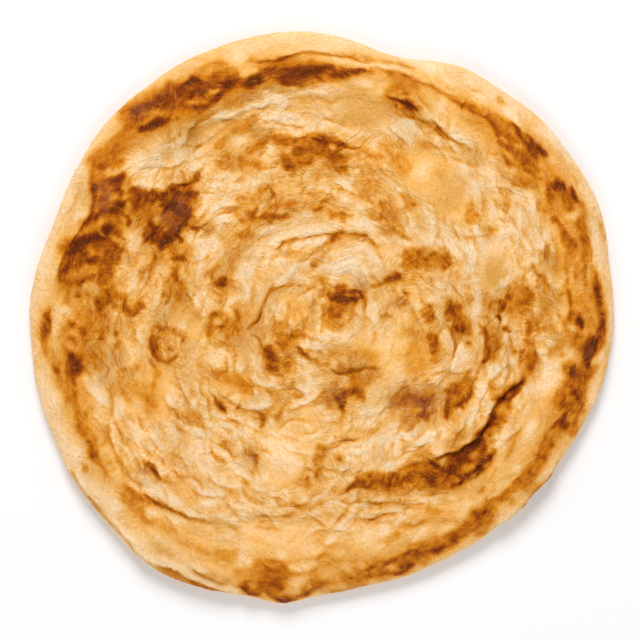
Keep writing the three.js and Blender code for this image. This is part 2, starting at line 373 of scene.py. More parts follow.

# ---- Browning ------------------------------------------------------------------------------------
# Where the griddle touched, plus dark lines painted as shadow in the grooves under some folds: tone, then
# strokes of (x, y, half width). 0.5 gold, 0.75 brown, 1 scorched.
TOASTED_AND_SHADOW_LINES = {
    0.4: strokes("""
        -70 -24 2, -66 -23.5 2, -60 -24 3; -74 -9 3, -73 -14 2; -66 -2 2; 37 46 .7; 40.8 46.4 .6;
        40.2 35.6 .4, 40.8 33.4 .7, 41 31.8 .6; 43 37 .4, 46 36 .5; 44.8 28.6 .5
    """),
    0.42: strokes("""
        -50 9 3, -46 9 2.2; -54 2 2, -50 1 3, -46 2 3, -44 0 2; -36.6 11 1.4, -34 8.6 1.2;
        -24.6 1.5 1.5; -35 -9 1.2, -31 -8.4 1.8, -27 -7 1.6; -42 -18 4, -44 -10 3; .5 11.5 2;
        -9 14.8 .4, -7 15.2 .6; 2.4 -3.6 1, 6 -4.6 1.2; 22 3 1; 18 -5 .6, 17.8 -7 .7, 18 -9 .4;
        10 -13 3, 16 -13 3, 4 -13 1.6; -9 -11.6 .7, -10 -14.6 .5, -10.8 -18 .6; -12 -22 .5,
        -9 -23.4 .5; 5 -22 1.3; -12 26 .3, -8 26.8 .3, -5 27.6 .3, 0 28.2 .3, 4 29 .3; 16 25.6 .5,
        18.4 24.6 .5, 20.6 22.8 .4; -2 47 1, 10 57 1; 5 79.2 .6, 9 79.2 .5; 7 66 1.4, 12 65.6 1.6,
        16 65.4 1.4, 9 63.6 1.2; 41 77.2 .6; 15 55 4, 17 44 4; 24 57 3, 27 50 3; -20 40 2.4,
        -6 37 2.4, 2 36 2; 32 8 2.4, 32 14 2; 30 -6 4, 32 -16 4; -30 22 2.4, -34 6 2
    """),
    0.44: strokes("""
        -26 38 2, -22 40 2.4, -18 41 2.4, -17 38 2, -13 38 2; -27 33 2, -23 31.6 2; -30 50 2,
        -27 52 2; -60 22 1; 79.6 56 .5, 81.6 52 .5, 83.4 48 .5, 85.4 44 .5; 73.6 20.6 1.4,
        76 19.6 1.6, 77.6 17.6 1.4, 78.8 16 1; -22 -34 .8; -18.8 -38 .8; -28 -36.6 .7; -38.6 -38 .8;
        -24 -46.6 3, -23 -43.4 1.4, -24.6 -49.6 1.4, -22.4 -51.6 1; -31 -43 2; -49 -46.6 1.8;
        -13 -21.4 1.4, -10.6 -21.4 1.4; -16.6 -25.4 1.2; -16 -28.6 .8, -17.6 -30.6 1; 6.4 -34.8 1;
        4.6 -58 1; .6 -62.6 1; 36 -64 1.4, 39 -65 1.2; 42 -61.6 .6; 31.4 -71.6 .5, 33 -71.4 .4
    """),
    0.46: strokes("""
        25 55 1, 26 52.6 1.2, 27 50.6 1; 34 58 1.2, 35.6 56.8 1.2; 28.6 39.4 1.6; 50 34.4 2;
        46 21.6 .5, 47.8 21.2 .6; 5 87.6 .7, 9 87.2 .8, 14 86.6 .9, 18 85.6 .8, 23 84.6 .7,
        27 83.6 .7, 31 83 .7; 48.6 65.6 1.2, 51.6 64.6 1; 61 57 2, 63 53 2.4, 64 49 2.4,
        68 47.6 2.4, 72 50 2.4, 76 51 2, 75 47 1.8; 63 60 2, 67 56 2; 52 62.4 .7; 66.6 42.2 .6,
        71 41.2 .8; 49 77 .5; 50.6 75.6 .6, 52.4 75.2 .5; 59 74.2 .6; 60 72 1; 66 66 .6; 90 33.5 .4,
        92.2 33.2 .4, 93.4 31 .5, 94.4 28 .4, 95.2 25.8 .4; 75 37.4 2, 78 37.4 2, 80.6 37.4 1.6,
        77.4 34.8 1.2; 56.8 23.2 .5; 84 18 1.4; 24.6 15.4 1.2; 28 14.4 .8; 26.4 5 1.8; 30 3 .8;
        36.6 12.6 .8; 35 15.8 .4, 38 15 .4; 36.4 -2 1.6; 45 -7 1.4; 57.4 -21.4 .4, 58.4 -24 .5;
        78 -6 1, 80 -8 1.4, 77 -11 1.6; 76.6 7 2; 73 9.4 1; 80.4 5 .8; 34 -45 .8, 31 -45.8 .8;
        28.6 -43 .4, 26 -43.8 .4; 66 -57 1.2, 69 -56 1.2; 65.6 -31 .6, 63.6 -36 .6; 64.4 -40 .8,
        62.6 -44 .8, 61 -48 .6; 70.4 -26.6 .4; -56 -82.6 1, -52 -85 1.2, -48 -87.4 1.2, -44 -89.6 1,
        -40 -91 .8; -22 -69.8 .5, -18 -70.4 .5, -14 -70.6 .5; -41.6 -80.6 .9; -55 -75 .6
    """),
    0.48: strokes("""
        86 5 2.4, 89 8 2.6, 89 2 2.6, 90 -3 2, 88 13 2.4, 86 16 2, 90 16 1.4; -69.6 -50.6 1.4,
        -68.4 -53 1.4; -71 -48.4 1.2; -67 -22 1.8, -65.6 -25 1.4; -64 -28 1.2; -78.6 -26 .4,
        -78.4 -28.4 .6; -73.4 -36 .6, -72.4 -39 1, -71.4 -41 .8, -73.4 -42.6 .8; -63.8 -50 .8,
        -64 -53 .8; -77 -61 .6, -75 -63.4 .7, -73 -65.2 .7
    """),
    0.5: strokes("""
        -90.8 2.5 1.3, -92.5 -1 1.9, -92.8 -6 1.9, -92 -10 1.2, -90.5 -13 1.5, -88 -15 2,
        -86.5 -20 2, -84.5 -23.5 2.4, -81.5 -25 1.4; -78 -11 2.2, -77 -14.5 1.6; -67.5 -18.5 1.2,
        -66 -17.5 1, -64 -18 1.4, -62 -16.5 1.2, -61 -17.5 .6; -73 12 3.2, -71 8 3; -58 37 2.2,
        -56 35.6 2; -55.6 41.6 1.2, -55 38 1.6; -42.4 37 1.4, -42 34.6 1.2, -44 30.8 1.2;
        -49 24 1.6, -50.4 22 1.2, -46 22 1.4; -34.6 52 1.2, -33 52 1.4, -34 49 1; -50 14.6 2.4,
        -48.6 11.6 2.4; -52 8 1.4; -47 -5 1.4, -46 -7 1.2; -55 -17.5 1, -56 -21 1, -57 -24 1.5;
        -53 -8 2.6, -52 -12 2.2; -38.5 14 1, -36.5 15.2 1.5, -34.6 16.6 1.1; -35 .6 1.8, -33 1 1.6,
        -31 -2 2.6, -34 -4 2, -29 -1 2, -28 -4 2; -15.4 9.2 .7, -17 6.4 .5, -18.6 3.2 .4, -20 .6 .6,
        -22.4 -2 .9, -24 -4.6 .7; -19.4 1.6 .4, -18.2 4.6 .4, -16.6 7.6 .6, -15 9 .7, -12 9.8 .5,
        -9 9.4 .4, -4 9.2 .4; -2.8 7.2 .5, -4.4 3.6 .4, -5.8 -.4 .5, -6.8 -3.6 .5; -3 40.4 1,
        -.4 40 1, 2 39.6 .9; -5.2 38.8 .6; 5.6 42.6 .4, 4.6 40.6 .5; -8.6 43 .5, -7 44.2 .6;
        7 32 1.2; 19.4 46.4 .5, 18.6 44.4 .7; 16 40.6 1; 18 36.6 1.4, 22 37 2.2, 24 34 2.2,
        21 33.5 2, 22 30 2.2, 22 27.8 1.4; -12 25.4 .7, -13.4 24 .7, -15.4 22.4 .7; -11 24.4 .5,
        -9.4 22.6 .4; 86 22 1.2, 87.4 18 1.4, 88.4 21 1; -57.4 -24.6 1.8, -57 -28 2.2, -57 -32 1.9,
        -56.6 -35 1.3; -45.8 -26 .8, -45 -28.4 1, -43.4 -31 1.2, -41.6 -33 1.4, -40 -35 1;
        -46 -31.6 .6, -44.4 -33.6 1, -42 -35 1, -39.4 -36.4 .8; 1.6 -26.4 1.4, 3.6 -27.6 1.4,
        2.6 -29.6 1.2, 4.6 -23.4 1.6; 8.4 -31.6 1.7, 7 -33.4 1.4, 10 -29.6 1; 13.6 -37.6 .5,
        15.4 -37.4 .9, 16.8 -38 1, 18.6 -37.6 .6, 20.4 -37.4 .4; 7.4 -40.2 1.6, 9.2 -40.4 1.2;
        0 -43.8 1.6, 2 -44.4 1.4, -.6 -46.6 1.8, -1 -49.4 1.6, -1 -52 1.6, -.4 -53.6 1.2;
        -8.6 -55.4 .9, -6.6 -55.4 1.6, -5 -53.6 1.2, -4.4 -55.6 1.4; 6.2 -47.2 1.5; 27 -29 2.6,
        30 -32 2.4, 28 -34 1.6, 36 -25 2, 38 -30 1.6; -37 -85 1, -34 -86 1.2, -31.4 -87 1.4,
        -29.6 -86.4 .8; 1.4 -79 1.2, -1 -80 1, -4 -80.2 .7; 3.4 -81.6 1.6, 2 -83 1.4; 12 -77.4 1;
        -4 -85.4 1.4, -2 -85.6 1.4; -18 -82 1.4, -15 -81.6 1.2, -12.6 -80.8 .8; -17 -86 2.4,
        -14 -86.6 2.4, -11 -87 1.6; 11 -84.6 1.4; 19.4 -75 .8, 21.6 -74.8 1.2, 23.6 -73.6 1.4;
        22 -77.6 1.4, 24.6 -78 1.2; 22 -67.6 .5, 24 -67.6 .4; 22.6 -62.8 .5; -86 -6 2.4, -84 8 2;
        -66 12 1.6, -62 22 1.6; 86 -28 1.4; 62 -30 1.6; 58 -15 1.2;
        -72 -52 1.4, -66 -59 1.6, -58 -66 1.6, -50 -72 1.8, -42 -77 2, -34 -81 2.2
    """),
    0.52: strokes("""
        -76 53.5 1, -72 56 1.6, -69 57 1; -61 34.5 1.2, -60.5 37 1.5; -60 28 3, -62 36 3;
        -40 82 1.6, -37 84 1.4, -33 84.5 1.2, -30 83.5 1; -51 69 1.6, -46 71 1.4; -24 86 .8,
        -17 85.6 1, -10 86.4 1.2; 3 79 1, 8 79 1; -26 53 2.2, -22 50 2; -32 54.5 .8, -33 51 1.4,
        -30 50 1; 7 53 1.8, 5.5 51 1.6; -35 57 1, -31 60 1; -38.4 -7.6 .4, -36.6 -8.4 .4,
        -34.5 -8 .4; -24 4.8 .6, -22.4 7.2 .5, -20.8 8.8 .4; -36 -18 1.6, -33 -19.4 2.1,
        -30 -20.5 2.2, -27 -22 2.2, -24 -23.6 1.5; 0 19.6 .8, -1 18 1, -2.2 17 .6; -.4 12.6 .8,
        -.2 10.6 .9, 1.2 9.6 .8; 4 0 1.6, 4.6 -2.4 1.7, 7 -1.6 1.6; 10 2 1.5; 20 .6 .5, 21.4 .4 1.2,
        23 0 .8; 24 15 1; 9 -18.6 1.6, 12 -19.6 2, 14 -22 2, 12.6 -24.4 2, 16 -18.8 1; 2.4 22.6 .8,
        .6 20.6 .8, -.2 19.4 .9, -1.6 17.8 1; 22 74.8 1.2, 24.4 77 1.6, 27.6 78.6 2, 30.6 78.6 1.9,
        31.4 76 1.6, 28 75.6 2, 22.6 80.6 1; 20.4 82.4 .8, 23.4 82 .6, 25.6 81.4 .5; 33 79.2 .9,
        36.6 76.8 .9, 39.6 75 .8, 42.6 73.6 .8, 46 72 1.1, 49 70.6 1.4; 50 70.2 1.8, 54 68.2 1.8,
        57 66 1.9, 60 64 1.9, 62.6 63 1.9, 63.6 65 1; -59.4 -67.4 1.6, -56.4 -68.8 1.7,
        -53 -69.4 1.9, -50 -71 2, -47.6 -73 2, -45 -74.6 1.6, -42.4 -76.6 1.3, -39.6 -77.6 1.3,
        -37.4 -79 1.2; -22.4 -82.6 1.2, -19 -81.6 1, -16 -81.6 1; -36 -78.6 1.4, -33 -79.6 1.6,
        -30 -80 1.6, -29 -77.6 .9; -31 -83 1.2, -33 -82.8 1; -19 -84 2, -17 -86 2.2; -1 -91.2 .5,
        4 -91.4 .6, 9 -90.8 .6, 13 -90 .6, 16 -88.8 .5; 25.4 -72.6 1.2; 29 -77 1.4, 33 -75.6 1.4,
        37 -74.8 1.2, 40 -73.6 1
    """),
    0.54: strokes("""
        -82.4 16.6 1.6, -79 16 2; -84.6 6.2 .8, -83.4 4 .6; -80 1 1.8, -77 0 2.2, -74 .6 2;
        -80 -3 2, -79 -7 2; -76 -3.6 3, -73 -3 3; -85.4 -4 .8, -84 -6.4 .8; -86 -9.6 1, -85.4 -12 1;
        -78 8 1.2; -70 10.6 1.6; -30.4 35.4 1.1, -28.4 35.8 1.1, -27 37.4 .9; -28.4 27 1,
        -26 26.6 1.7, -23.6 27.2 1.3; -14.6 43.6 .6; 12 11 .4, 11.6 9.8 .4; 14.4 12 .4, 13 12.8 .4;
        15.4 11 .4; 15.4 9.6 .5, 14.2 9 .4; 8 3.6 1.4; -13 -2.4 1.4, -14.6 -5.6 1.4, -13 -8 1.6,
        -11 -8.4 2, -9.4 -5 1.8, -12.4 -11 1.4; 12 -21.4 1.2; .6 -15 .8, 3 -15.6 .8; 3.4 -17.4 .8;
        -8 52 2.4, -4 51.4 1.8, -4 53.4 1.6; -15 51 1; -10 47.6 .9; 8.4 51.4 .6, 8.2 53.6 .8;
        13.6 54.9 .5, 15.6 54 .8, 18 54 .7, 20 53.6 .6; 15 42.4 1; 13.4 41 .8; 4 33.6 1.2,
        6.4 34.4 1.5, 8.4 33.8 1; 10 33.4 .8; 27 50.4 .7; 26.8 40.6 .6, 27.2 38 .5, 28.4 36.4 .6,
        30.2 36.8 .9, 30 39.4 .4; 39.4 48 .6; 48 37.2 .4, 49.4 37.4 .6; 48.2 35.6 .5, 48.2 33 .5,
        49.6 32 .5, 51.4 31.8 .6; 54.4 29 .8, 56.4 29 1.3, 57.8 29 .7; 61.6 38.2 .9, 63 37.6 1.1;
        24 29.6 1.2, 26 27.8 1.2, 28 26.2 .8, 28.8 25.4 .6; 35.6 1.8 2.2; 47.8 8.4 .4, 49 6.6 .8,
        49.8 5.2 .6; 39.4 -9 1.4, 38.6 -13.4 1.5; 50 -10 .5; 48 0 .9; 57 -4 2, 57.6 -9 2,
        57.4 -13 1.6, 56 -12 1.6; 58.8 -2.6 .5, 60.4 -6 .5; -85 -22 2, -84 -25 2.2, -83.2 -28 2,
        -81.6 -31 1.8, -80 -34 2.2, -79.4 -37 2, -77.6 -39 1.9, -76.6 -41.6 1.9, -75.6 -44.8 1.8,
        -74.4 -47.6 1.4, -72.6 -51 1.2, -71 -53.6 1.5, -68.6 -55.4 1.4, -66.4 -57 1.6,
        -64.4 -58 1.6, -62 -59.6 1.4, -59.6 -60.8 1.2, -57.6 -62 1; -9.6 -25.4 .5, -8 -27 .6,
        -6.4 -26.4 .4; -12.6 -30.2 .6, -10.4 -29 .6, -9 -28 .4; -.8 -26.8 .5, 1.4 -24.6 .5;
        9.8 -52.4 .5, 11.6 -50.4 .4, 13.8 -48.6 .3; -9.4 -62.4 .6, -7.8 -63.4 .7; 15 -61 .8,
        16.2 -63 .8; 24.8 -26 .8, 23.4 -28.4 .7, 23 -31 .5; 16 -57.4 1.4, 20 -57 1.4, 24 -57.4 1.2;
        22 -56.4 1.4, 26 -56 1.6, 30 -56 1.4, 34 -56.6 1.2; 38.4 -47 1, 40.6 -47.2 1, 42 -45.6 1,
        43.6 -44 1, 46 -43 .8; 58.6 -50 .4, 57.4 -52.4 .4, 56 -54.4 .4; 23.6 -60.8 .5, 26 -60.8 .4,
        30 -61 .4, 32.4 -61 .3; 27.4 -63.8 .4, 28.8 -63.4 .6; 7.4 -65.4 .4, 5.6 -67.2 .5,
        3.6 -69 .4; 16 -63 .8; 8 -75 .8; 9.6 -76.4 .4, 8.4 -77.4 .4; 5.4 -80.8 .5, 8.4 -81.2 .5,
        11.6 -81.2 .8, 13.4 -79.6 .8; 1.2 -79.2 .6; -50 67 2, -42 68 2; -30 76 2, -27 84 1.4;
        -38 73 2; -28 62 2, -23 66 1.6; -16 57 1.4; -58 50 2, -64 46 2; -70 50 1.6, -76 48 1.4;
        70 -3 1.6, 76 -4 1.6; 81 -2 2, 84 -6 1.8; 82 8 1, 81 16 1; 68 -17 1.2, 68 -22 1.2; 8 24 1.4,
        4 28 1.2; -12 -16 2.4, -10 -11 1.6
    """),
    0.56: strokes("""
        28 21.6 1.4, 31 21 2, 35 20.6 2.4, 39 20 2.4, 42 20 2; 28.6 17.6 1.6, 36 18 1.6,
        40 17.6 1.6, 43 17.4 1.2; 31 23 .8, 35 22.8 .6; 86.4 38.6 .6, 86.8 37 .8, 85.4 36.2 .6;
        88 33.6 .8, 88.2 31 .4, 88.4 28.6 .5, 88.8 26.2 .6, 89.4 23.6 .4; 80.4 28 1.6, 81.6 26 1.8,
        83 24.6 2, 84.6 26.6 1.2, 83.6 23.2 2, 82.4 20.4 1.6, 81.6 17.6 .9; 71.4 38.2 .4,
        73 38.2 .4; 71.8 37 .4, 73 35 .6, 75 34.2 .6, 77 34.8 .6; 65 16.6 .4, 66.4 15.8 .5;
        58.4 4 2.2; 69.6 -9 1.8; 74.6 2 1.2; 63 -10 .8; 62.8 10.6 1; 30.6 -36.4 .7, 28.6 -37.4 .7,
        26.6 -38 .4; 37 -31.4 1; -52.6 -78 .5; -51 -78.6 .4; -23 -65.2 .3, -20 -66 .3, -16 -65.9 .3,
        -11 -65.6 .3, -9.6 -65.4 .3; -20 -68 .4, -17 -67.8 .3; -33 -63.6 .3, -29 -63.4 .3;
        58 -66 .6, 57 -68.6 .5, 54 -71.4 .7, 51 -73 .6
    """),
    0.58: strokes("""
        64.4 44.6 .8, 67 45.4 1.2, 69 45.6 1, 67 43.4 1.2, 71.6 44 1; 75 44.8 .8; 74.4 48.2 .7;
        -58 -26 1, -57.4 -30 .8; -37.6 -41 .3, -35 -42.4 .4, -33 -43.4 .4, -31 -44.8 .5,
        -29.6 -46.4 .7; -37.7 -43 .3, -36.8 -45.4 .5, -34.4 -47.4 .8, -32.4 -48.4 .5; -32.6 -41 .7,
        -30.6 -41.4 .5; -29 -45.4 .7, -28.8 -47 .5; -47.6 -37 .4, -46.4 -38.4 .4, -45.6 -39.4 .4;
        -46.8 -51.6 .5, -45.6 -52.8 .6, -43.4 -52.6 .4; -25.8 -54.6 .5, -24 -55.6 .8; 26 -52 1.2,
        28 -50.6 1, 31 -49 1.2, 34 -48.6 1.2, 37 -50 1, 40 -52 .8; 56.6 -43.6 .9, 57.6 -45.6 .9;
        56 -39 1; 60 -35.6 1.3; -3 -89 1.6, 0 -88 1.8, 4 -87.4 1.8, 7 -86.4 1.8, 10 -87.4 1.8,
        13 -86.8 1.6, 16.6 -85.6 1.8, 20 -85 2, 24 -85 1.6; 19 -81 1.6, 22 -81 2, 18 -84 1.6,
        22 -84.6 2
    """),
    0.6: strokes("""
        -60.8 10 .4, -60.4 12 .4, -59 15 .5, -57.5 18 .8, -55.6 20.4 .9; -32 -20.6 1, -29 -21 1.1,
        -26 -22.4 1; 35.6 64.4 .7, 37 63.2 .5, 39.6 61.6 1.1, 42 60.4 1, 43.6 58.4 .8; 30 69 .8,
        31.4 67.8 .5; 33 65.8 .7, 35.4 64.6 .8; 90.2 19.8 .4, 91.2 17 .4, 92 15 .4; 50.6 -11 .3,
        51.8 -13 .3, 52 -15.8 .4, 50.8 -16.2 .3, 50 -18 .4, 48 -18 .3; 42 -18 .3, 45 -18.4 .3,
        47.4 -17.7 .3; 41.4 -18.8 .3, 42.2 -20 .4; 63.6 7 2.4, 66 6.6 3, 67 3.4 3, 69.4 7 2.2,
        65 3 2; 72.6 -.4 .5, 72.4 -2.4 .5; 76 3.4 .6; 69 -13 1.2, 71 -13.2 1, 69.6 -15.6 1.4,
        69.6 -18 1.2; 83 -5 .8, 83 -7.4 1.3, 85 -9 1.7, 85 -6 .6; 82.4 -16 1.6, 82 -19 2.2,
        84 -21 2.2, 86 -18 1.8, 87.6 -20 1.2, 83 -24 1.6; -68.8 -34.5 .4, -68.2 -36.6 .5,
        -67.2 -38.6 .4, -66 -40 .4; -68 -45.8 .4, -67 -47.8 .4, -66.2 -49.8 .4; -61.6 -47 .4,
        -61 -49 .4, -60.2 -52 .5; -78.6 -49.6 .8, -78.8 -51.4 .7; -83.6 -50.8 .3, -82.9 -52.4 .5,
        -82.2 -53.2 .4; -42.4 -66.2 .3, -40.4 -67 .4; -9.6 -20.8 .6; -11 -23.4 .3, -9 -23.4 .3;
        12 -54.2 1.2, 16 -53 1.3, 20 -52.4 1.2, 24.6 -52.4 1.4; 18 -55.6 1.6; 80 -20.6 1.6,
        84 -21 2, 80 -26 2, 79 -29 2, 82 -30 1.4; 86.6 -26 1.6, 87.4 -28.6 1.2; 84.4 -34 1.6,
        84.4 -36.6 1.2, 83.6 -38.6 1.2; 79 -36 1.6; 78 -38.6 1.8, 76 -40 1.8, 75.4 -42.4 2,
        73.6 -45.6 1.8, 72 -47.6 1.7, 70 -50 1.7, 67.4 -51.6 1.5, 65.6 -54 1.5, 63 -56.4 1.7,
        60.6 -58.6 1.8, 57.6 -60.6 1.8, 55 -63 1.8; -53 -69 1, -50 -71 1; -45.6 -74.6 .8,
        -43.6 -74.6 .6; -28.6 -84.4 1, -26 -85 1, -23.6 -86 1.2; -38.4 -81 .6; -21 -88 2,
        -18 -88 2.4, -16 -91 2, -19 -91 1.4; 63.6 -56.4 1.8, 61.6 -58 1.8, 59 -59.4 1.6,
        57 -61.4 1.7, 54.4 -63.6 1.8, 52 -66 1.9, 49.6 -68.6 2, 47 -71 1.8, 44.6 -73.4 2,
        41 -75.6 2, 37.6 -77.4 2.2, 34 -79 2.2, 31 -80.4 2, 27 -83 2, 24 -84 1.6; 28 -79.6 1.6;
        12 -84 2, 24 -81.5 2, 34 -78 2.2, 43 -74 2.2, 52 -68.5 2, 60 -62 2, 67 -55 1.8, 73 -47.5 1.6
    """),
    0.62: strokes("""
        -75 52 2.5, -72 53 3, -68 57 2.6, -66 60 2, -64 63 2; -75.5 47 1.4, -72.5 45 2.4,
        -72 41.5 2.2; -66 51.6 1.4, -70 51 2; -63 40 2, -58 41.5 2.4, -56 38 2.4, -57 33 2;
        -24 55.5 .9, -21 57.5 1.1, -18 59 1.4, -14 59.5 1.2, -11 59.5 1; -6 60 1, 0 60 1.4,
        7 58 1.6; -8 56.5 1.4, -6 54 3, -2 55 2.6, 3 54 3, 6 51 2; -2 80 1.6, 2 80.6 1; -37 30.8 .5,
        -35.8 30 .6; -37.7 27.9 .6; -31 54.8 .5, -31.2 53 .4; -31.6 51.8 .4, -30.4 50.4 .5;
        -33 51.2 .6; -19.5 42.3 1.4, -18 43 .8; -28.6 38.6 .4, -27 39.6 .5, -25.2 40.3 .5;
        -20 38.8 .5, -18 38.6 .6; -28 27.8 .4, -25.6 28.6 .5, -24.2 29.4 .4; -16.4 37 .9,
        -14.6 37 .7, -13.4 38 .5; -5.2 -10.2 .4, -3.4 -11 .6, -2 -11 .4; 8.6 28.5 .4, 11 28.1 .5,
        14 27.6 .8, 15.2 27.4 .6; 3.8 26 1; 2.6 25.4 .8, .6 24 .5, -2 22.6 .4; 21.4 28.6 1;
        50 34 .5, 51.6 34.2 .6, 52.6 32.8 .6; 30.4 37 .6; 56.6 29 .6; 63.2 37.4 .5; 48 71 .9,
        50.4 69.8 1, 54 66.8 .8, 56.4 66 1; 57 63.6 1, 59.4 63 .8; 62.6 60 .9; 73.4 58 .7;
        36.4 -7 1.8, 37.4 -10 1.9; 44 4 2.1, 44.6 .6 2.1, 46 -2 2.2; 47 -4 2.4, 48.6 -2 1.3;
        -57.6 -49 1, -55.6 -50.6 1.2; -60 -60.6 1; 26.4 -23.6 1.1, 28.4 -23.6 1; 25 -25.4 1;
        29 -28 .8; 38.6 -28.4 1; 31 -30.6 .8; 48.6 -21 1.8, 47 -24 1.8, 44.6 -22.6 1.6,
        42.6 -24.8 1.4, 43 -27 1.4, 46 -28 1.8, 47.6 -29.6 1; -2.2 -84.6 .5, -1 -83.2 .4;
        -10.6 -86.4 .7, -9 -86.6 .6; 21.4 -75.2 .6
    """),
    0.64: strokes("""
        -50 17 .7, -49 15.2 .9, -48 12.8 1.2; -46.3 11.4 .7; -47.9 7.8 .8; -55.5 -3.5 .9,
        -53 -4 1.5, -51 -3.6 1.1; -50.2 -9.6 .5, -49.2 -10.8 .5; -46.3 -8.2 .5, -45.5 -7 .3;
        -36.8 13.8 .9; -34.6 17.4 .4; -33.4 11.8 2.1; -37.4 0 .9, -37.4 -3 1.3, -37.6 -5.4 .8;
        -28.9 -3.4 1.1, -28 -4.4 .7; 4.4 49.6 .5, 5.6 48.4 .7, 7.4 48.2 .7, 8.2 49.6 .5;
        -12 37.2 .8, -10 38 1.1, -8.2 39 .7; -.6 38.8 .6, .6 39.4 .5; -2.4 36.2 1, -.8 36.4 .6;
        5 33.8 .6, 7.4 34.6 .7; 16 34 .4, 18 33.6 .6, 19.4 32.4 .5; 19.4 38.6 .5, 20.4 37.4 .7,
        20.2 36.6 .4; 61.2 50 .8, 61.2 48.8 .6; 80 40.4 1.8, 83.6 40 1.4, 76 41.4 1.6; 22 12.2 1,
        25 13.6 1.4; 26 7.2 .4, 28.2 6.2 .5; 46.4 3.4 1.2; 49.2 -8.8 .9, 49.8 -8.4 .5; -83 -24 .8,
        -82.4 -27 .9, -82.9 -29 .7; -85.6 -26.6 .5; -85 -28.8 .4; -78 -31.6 .7, -79 -33.6 .7;
        -80.4 -36.4 .8, -79 -38.4 .9; -74.6 -45.6 .7, -75 -47.6 .8, -73.6 -49.4 .5; -72.4 -51.6 .6;
        48.4 -35 .3, 46.6 -37.6 .4, 45.4 -40 .5, 43.8 -42.8 .3; 36 -45.4 .5, 37.4 -45.6 .5;
        53.4 -57.2 .7, 52 -58 .5; 26.2 -68.8 .4, 28.4 -69 .4, 30.4 -68.6 .3; 31 -66 .3,
        33.4 -67.2 .4, 35.4 -67 .4; 39.6 -68.8 .3, 41.6 -68 .4, 43 -68 .4
    """),
    0.66: strokes("""
        -78 8 .4, -77 7 .4; -69.4 8 1.2, -66 7 1.4; -73 8.6 1.6; -63 1 .9, -61.5 3 .9, -60.8 5.4 .9,
        -59.8 4 .8; -79.6 .6 .5; -78 -3 1.5, -79.5 -5 1.4; -68.7 -5.5 .8; -68.6 -9 1.2;
        -84.7 -10.8 .9; 17.4 10.2 .4, 19.6 11.2 .6, 21.4 12.4 1, 23.4 13.2 1.4, 25 14 1.4;
        -9.2 -5.6 1, -11.4 -8.4 .8, -10.8 -5.4 .4; -17.4 -12 2.6, -16.4 -15.6 2.1; -3 -13.8 .6,
        -1.4 -14.6 .8; -9.6 -20.6 .6; -18.4 58.4 1.1, -14.4 58.6 1, -11 58.2 1, -7 58.6 1.2,
        -4 58 1.5; -8 56.5 1.8, -4 56 1.6; 2.8 55.2 .9, 1 55 .5; 5 54.6 1; -6.6 50.8 .7; -9 49 .6;
        28 21.8 .6; 41.6 22.8 .5; 38.6 19.4 .6; 69.6 18.4 .4, 71.6 16.4 .6, 73.4 14.2 .6,
        75.2 12.8 .4; 75 11.6 .3, 76.6 10.4 .3; 66 5 2, 68.4 5.4 1.2; 71 7.4 .6, 72 6 .5;
        69.6 9.4 .7; 69.4 -10.2 .5, 71.4 -9.8 .6; 73.6 -4 .6; 75.4 -3.4 .6; 87 19.4 .7, 87.8 17 .7,
        87.6 14 .8, 88 11.8 .7; 85 15 .5, 83.8 13 .6; 95.4 -12.4 .6; -20 -32.4 .8, -19.4 -34 1,
        -19.6 -36 .8, -18.4 -32.6 .8; -17 -33.4 .5, -15 -32.8 .7, -13.2 -31.8 .6; 10.6 -21.4 1.4,
        12.6 -24 2, 13 -26.6 1.4; 16.2 -37.2 .4, 17.2 -38.4 .6; -1 -44 .8, .8 -43.8 .8;
        -.4 -46.6 .7; -5 -54.4 .7, -5.4 -56.6 .8; 8 -32 .8; 30 -52 2, 34 -53.4 2.2, 38 -53.6 2.2,
        42 -53.6 2; 28.8 -50.4 .5; 25 -52.4 .8, 24 -53 .7; 78.8 -48 .3, 77.4 -50.6 .6, 75.6 -53 .9,
        73.4 -55.4 1, 70.6 -57.6 .8, 69 -60 .6, 67 -62.4 .5, 65.4 -64.4 .4; -41.6 -77.4 .9;
        -38.8 -77.6 .8, -37.6 -79.2 .6; -35.6 -81.6 .4, -34 -81.8 .6; -16 -81.4 .8; 18 -66.4 .4,
        16.6 -67.2 .5, 15 -67.7 .3; 18.6 -65 .3, 20.8 -65.6 .4, 22 -65 .4, 24.6 -65.4 .3; -68 34 2,
        -70 28 1.6; -79 31 1.6, -75 33 1.4; -78 22 1.8, -80 16 1.8; -70 4 1.4; 84 -1 1;
        -26 -83 2.6, -20 -85 3, -14 -86 3, -8 -84 2.4;
        80 42 1.4, 84 34 1.6, 88 24 1.4, 91 12 1.4, 93.5 2 1.4, 93 -8 1.6, 90 -16 1.8, 86 -24 1.8,
        83 -31 1.6; 27 -27 2.4, 34 -28 2.6
    """),
    0.68: strokes("""
        -45.6 -26.6 .4, -45 -28.4 .5; -15.6 -81.4 .9; -17 -89.6 1.8, -14 -90 1.6, -19 -89 1.4;
        4.4 -87.6 .7; 7.6 -85.6 1; 10 -88 .9, 9.4 -86.2 .5; 13 -86.8 .6; 16.6 -84.4 .5;
        50.6 -68.6 1; 34.6 -81.4 1
    """),
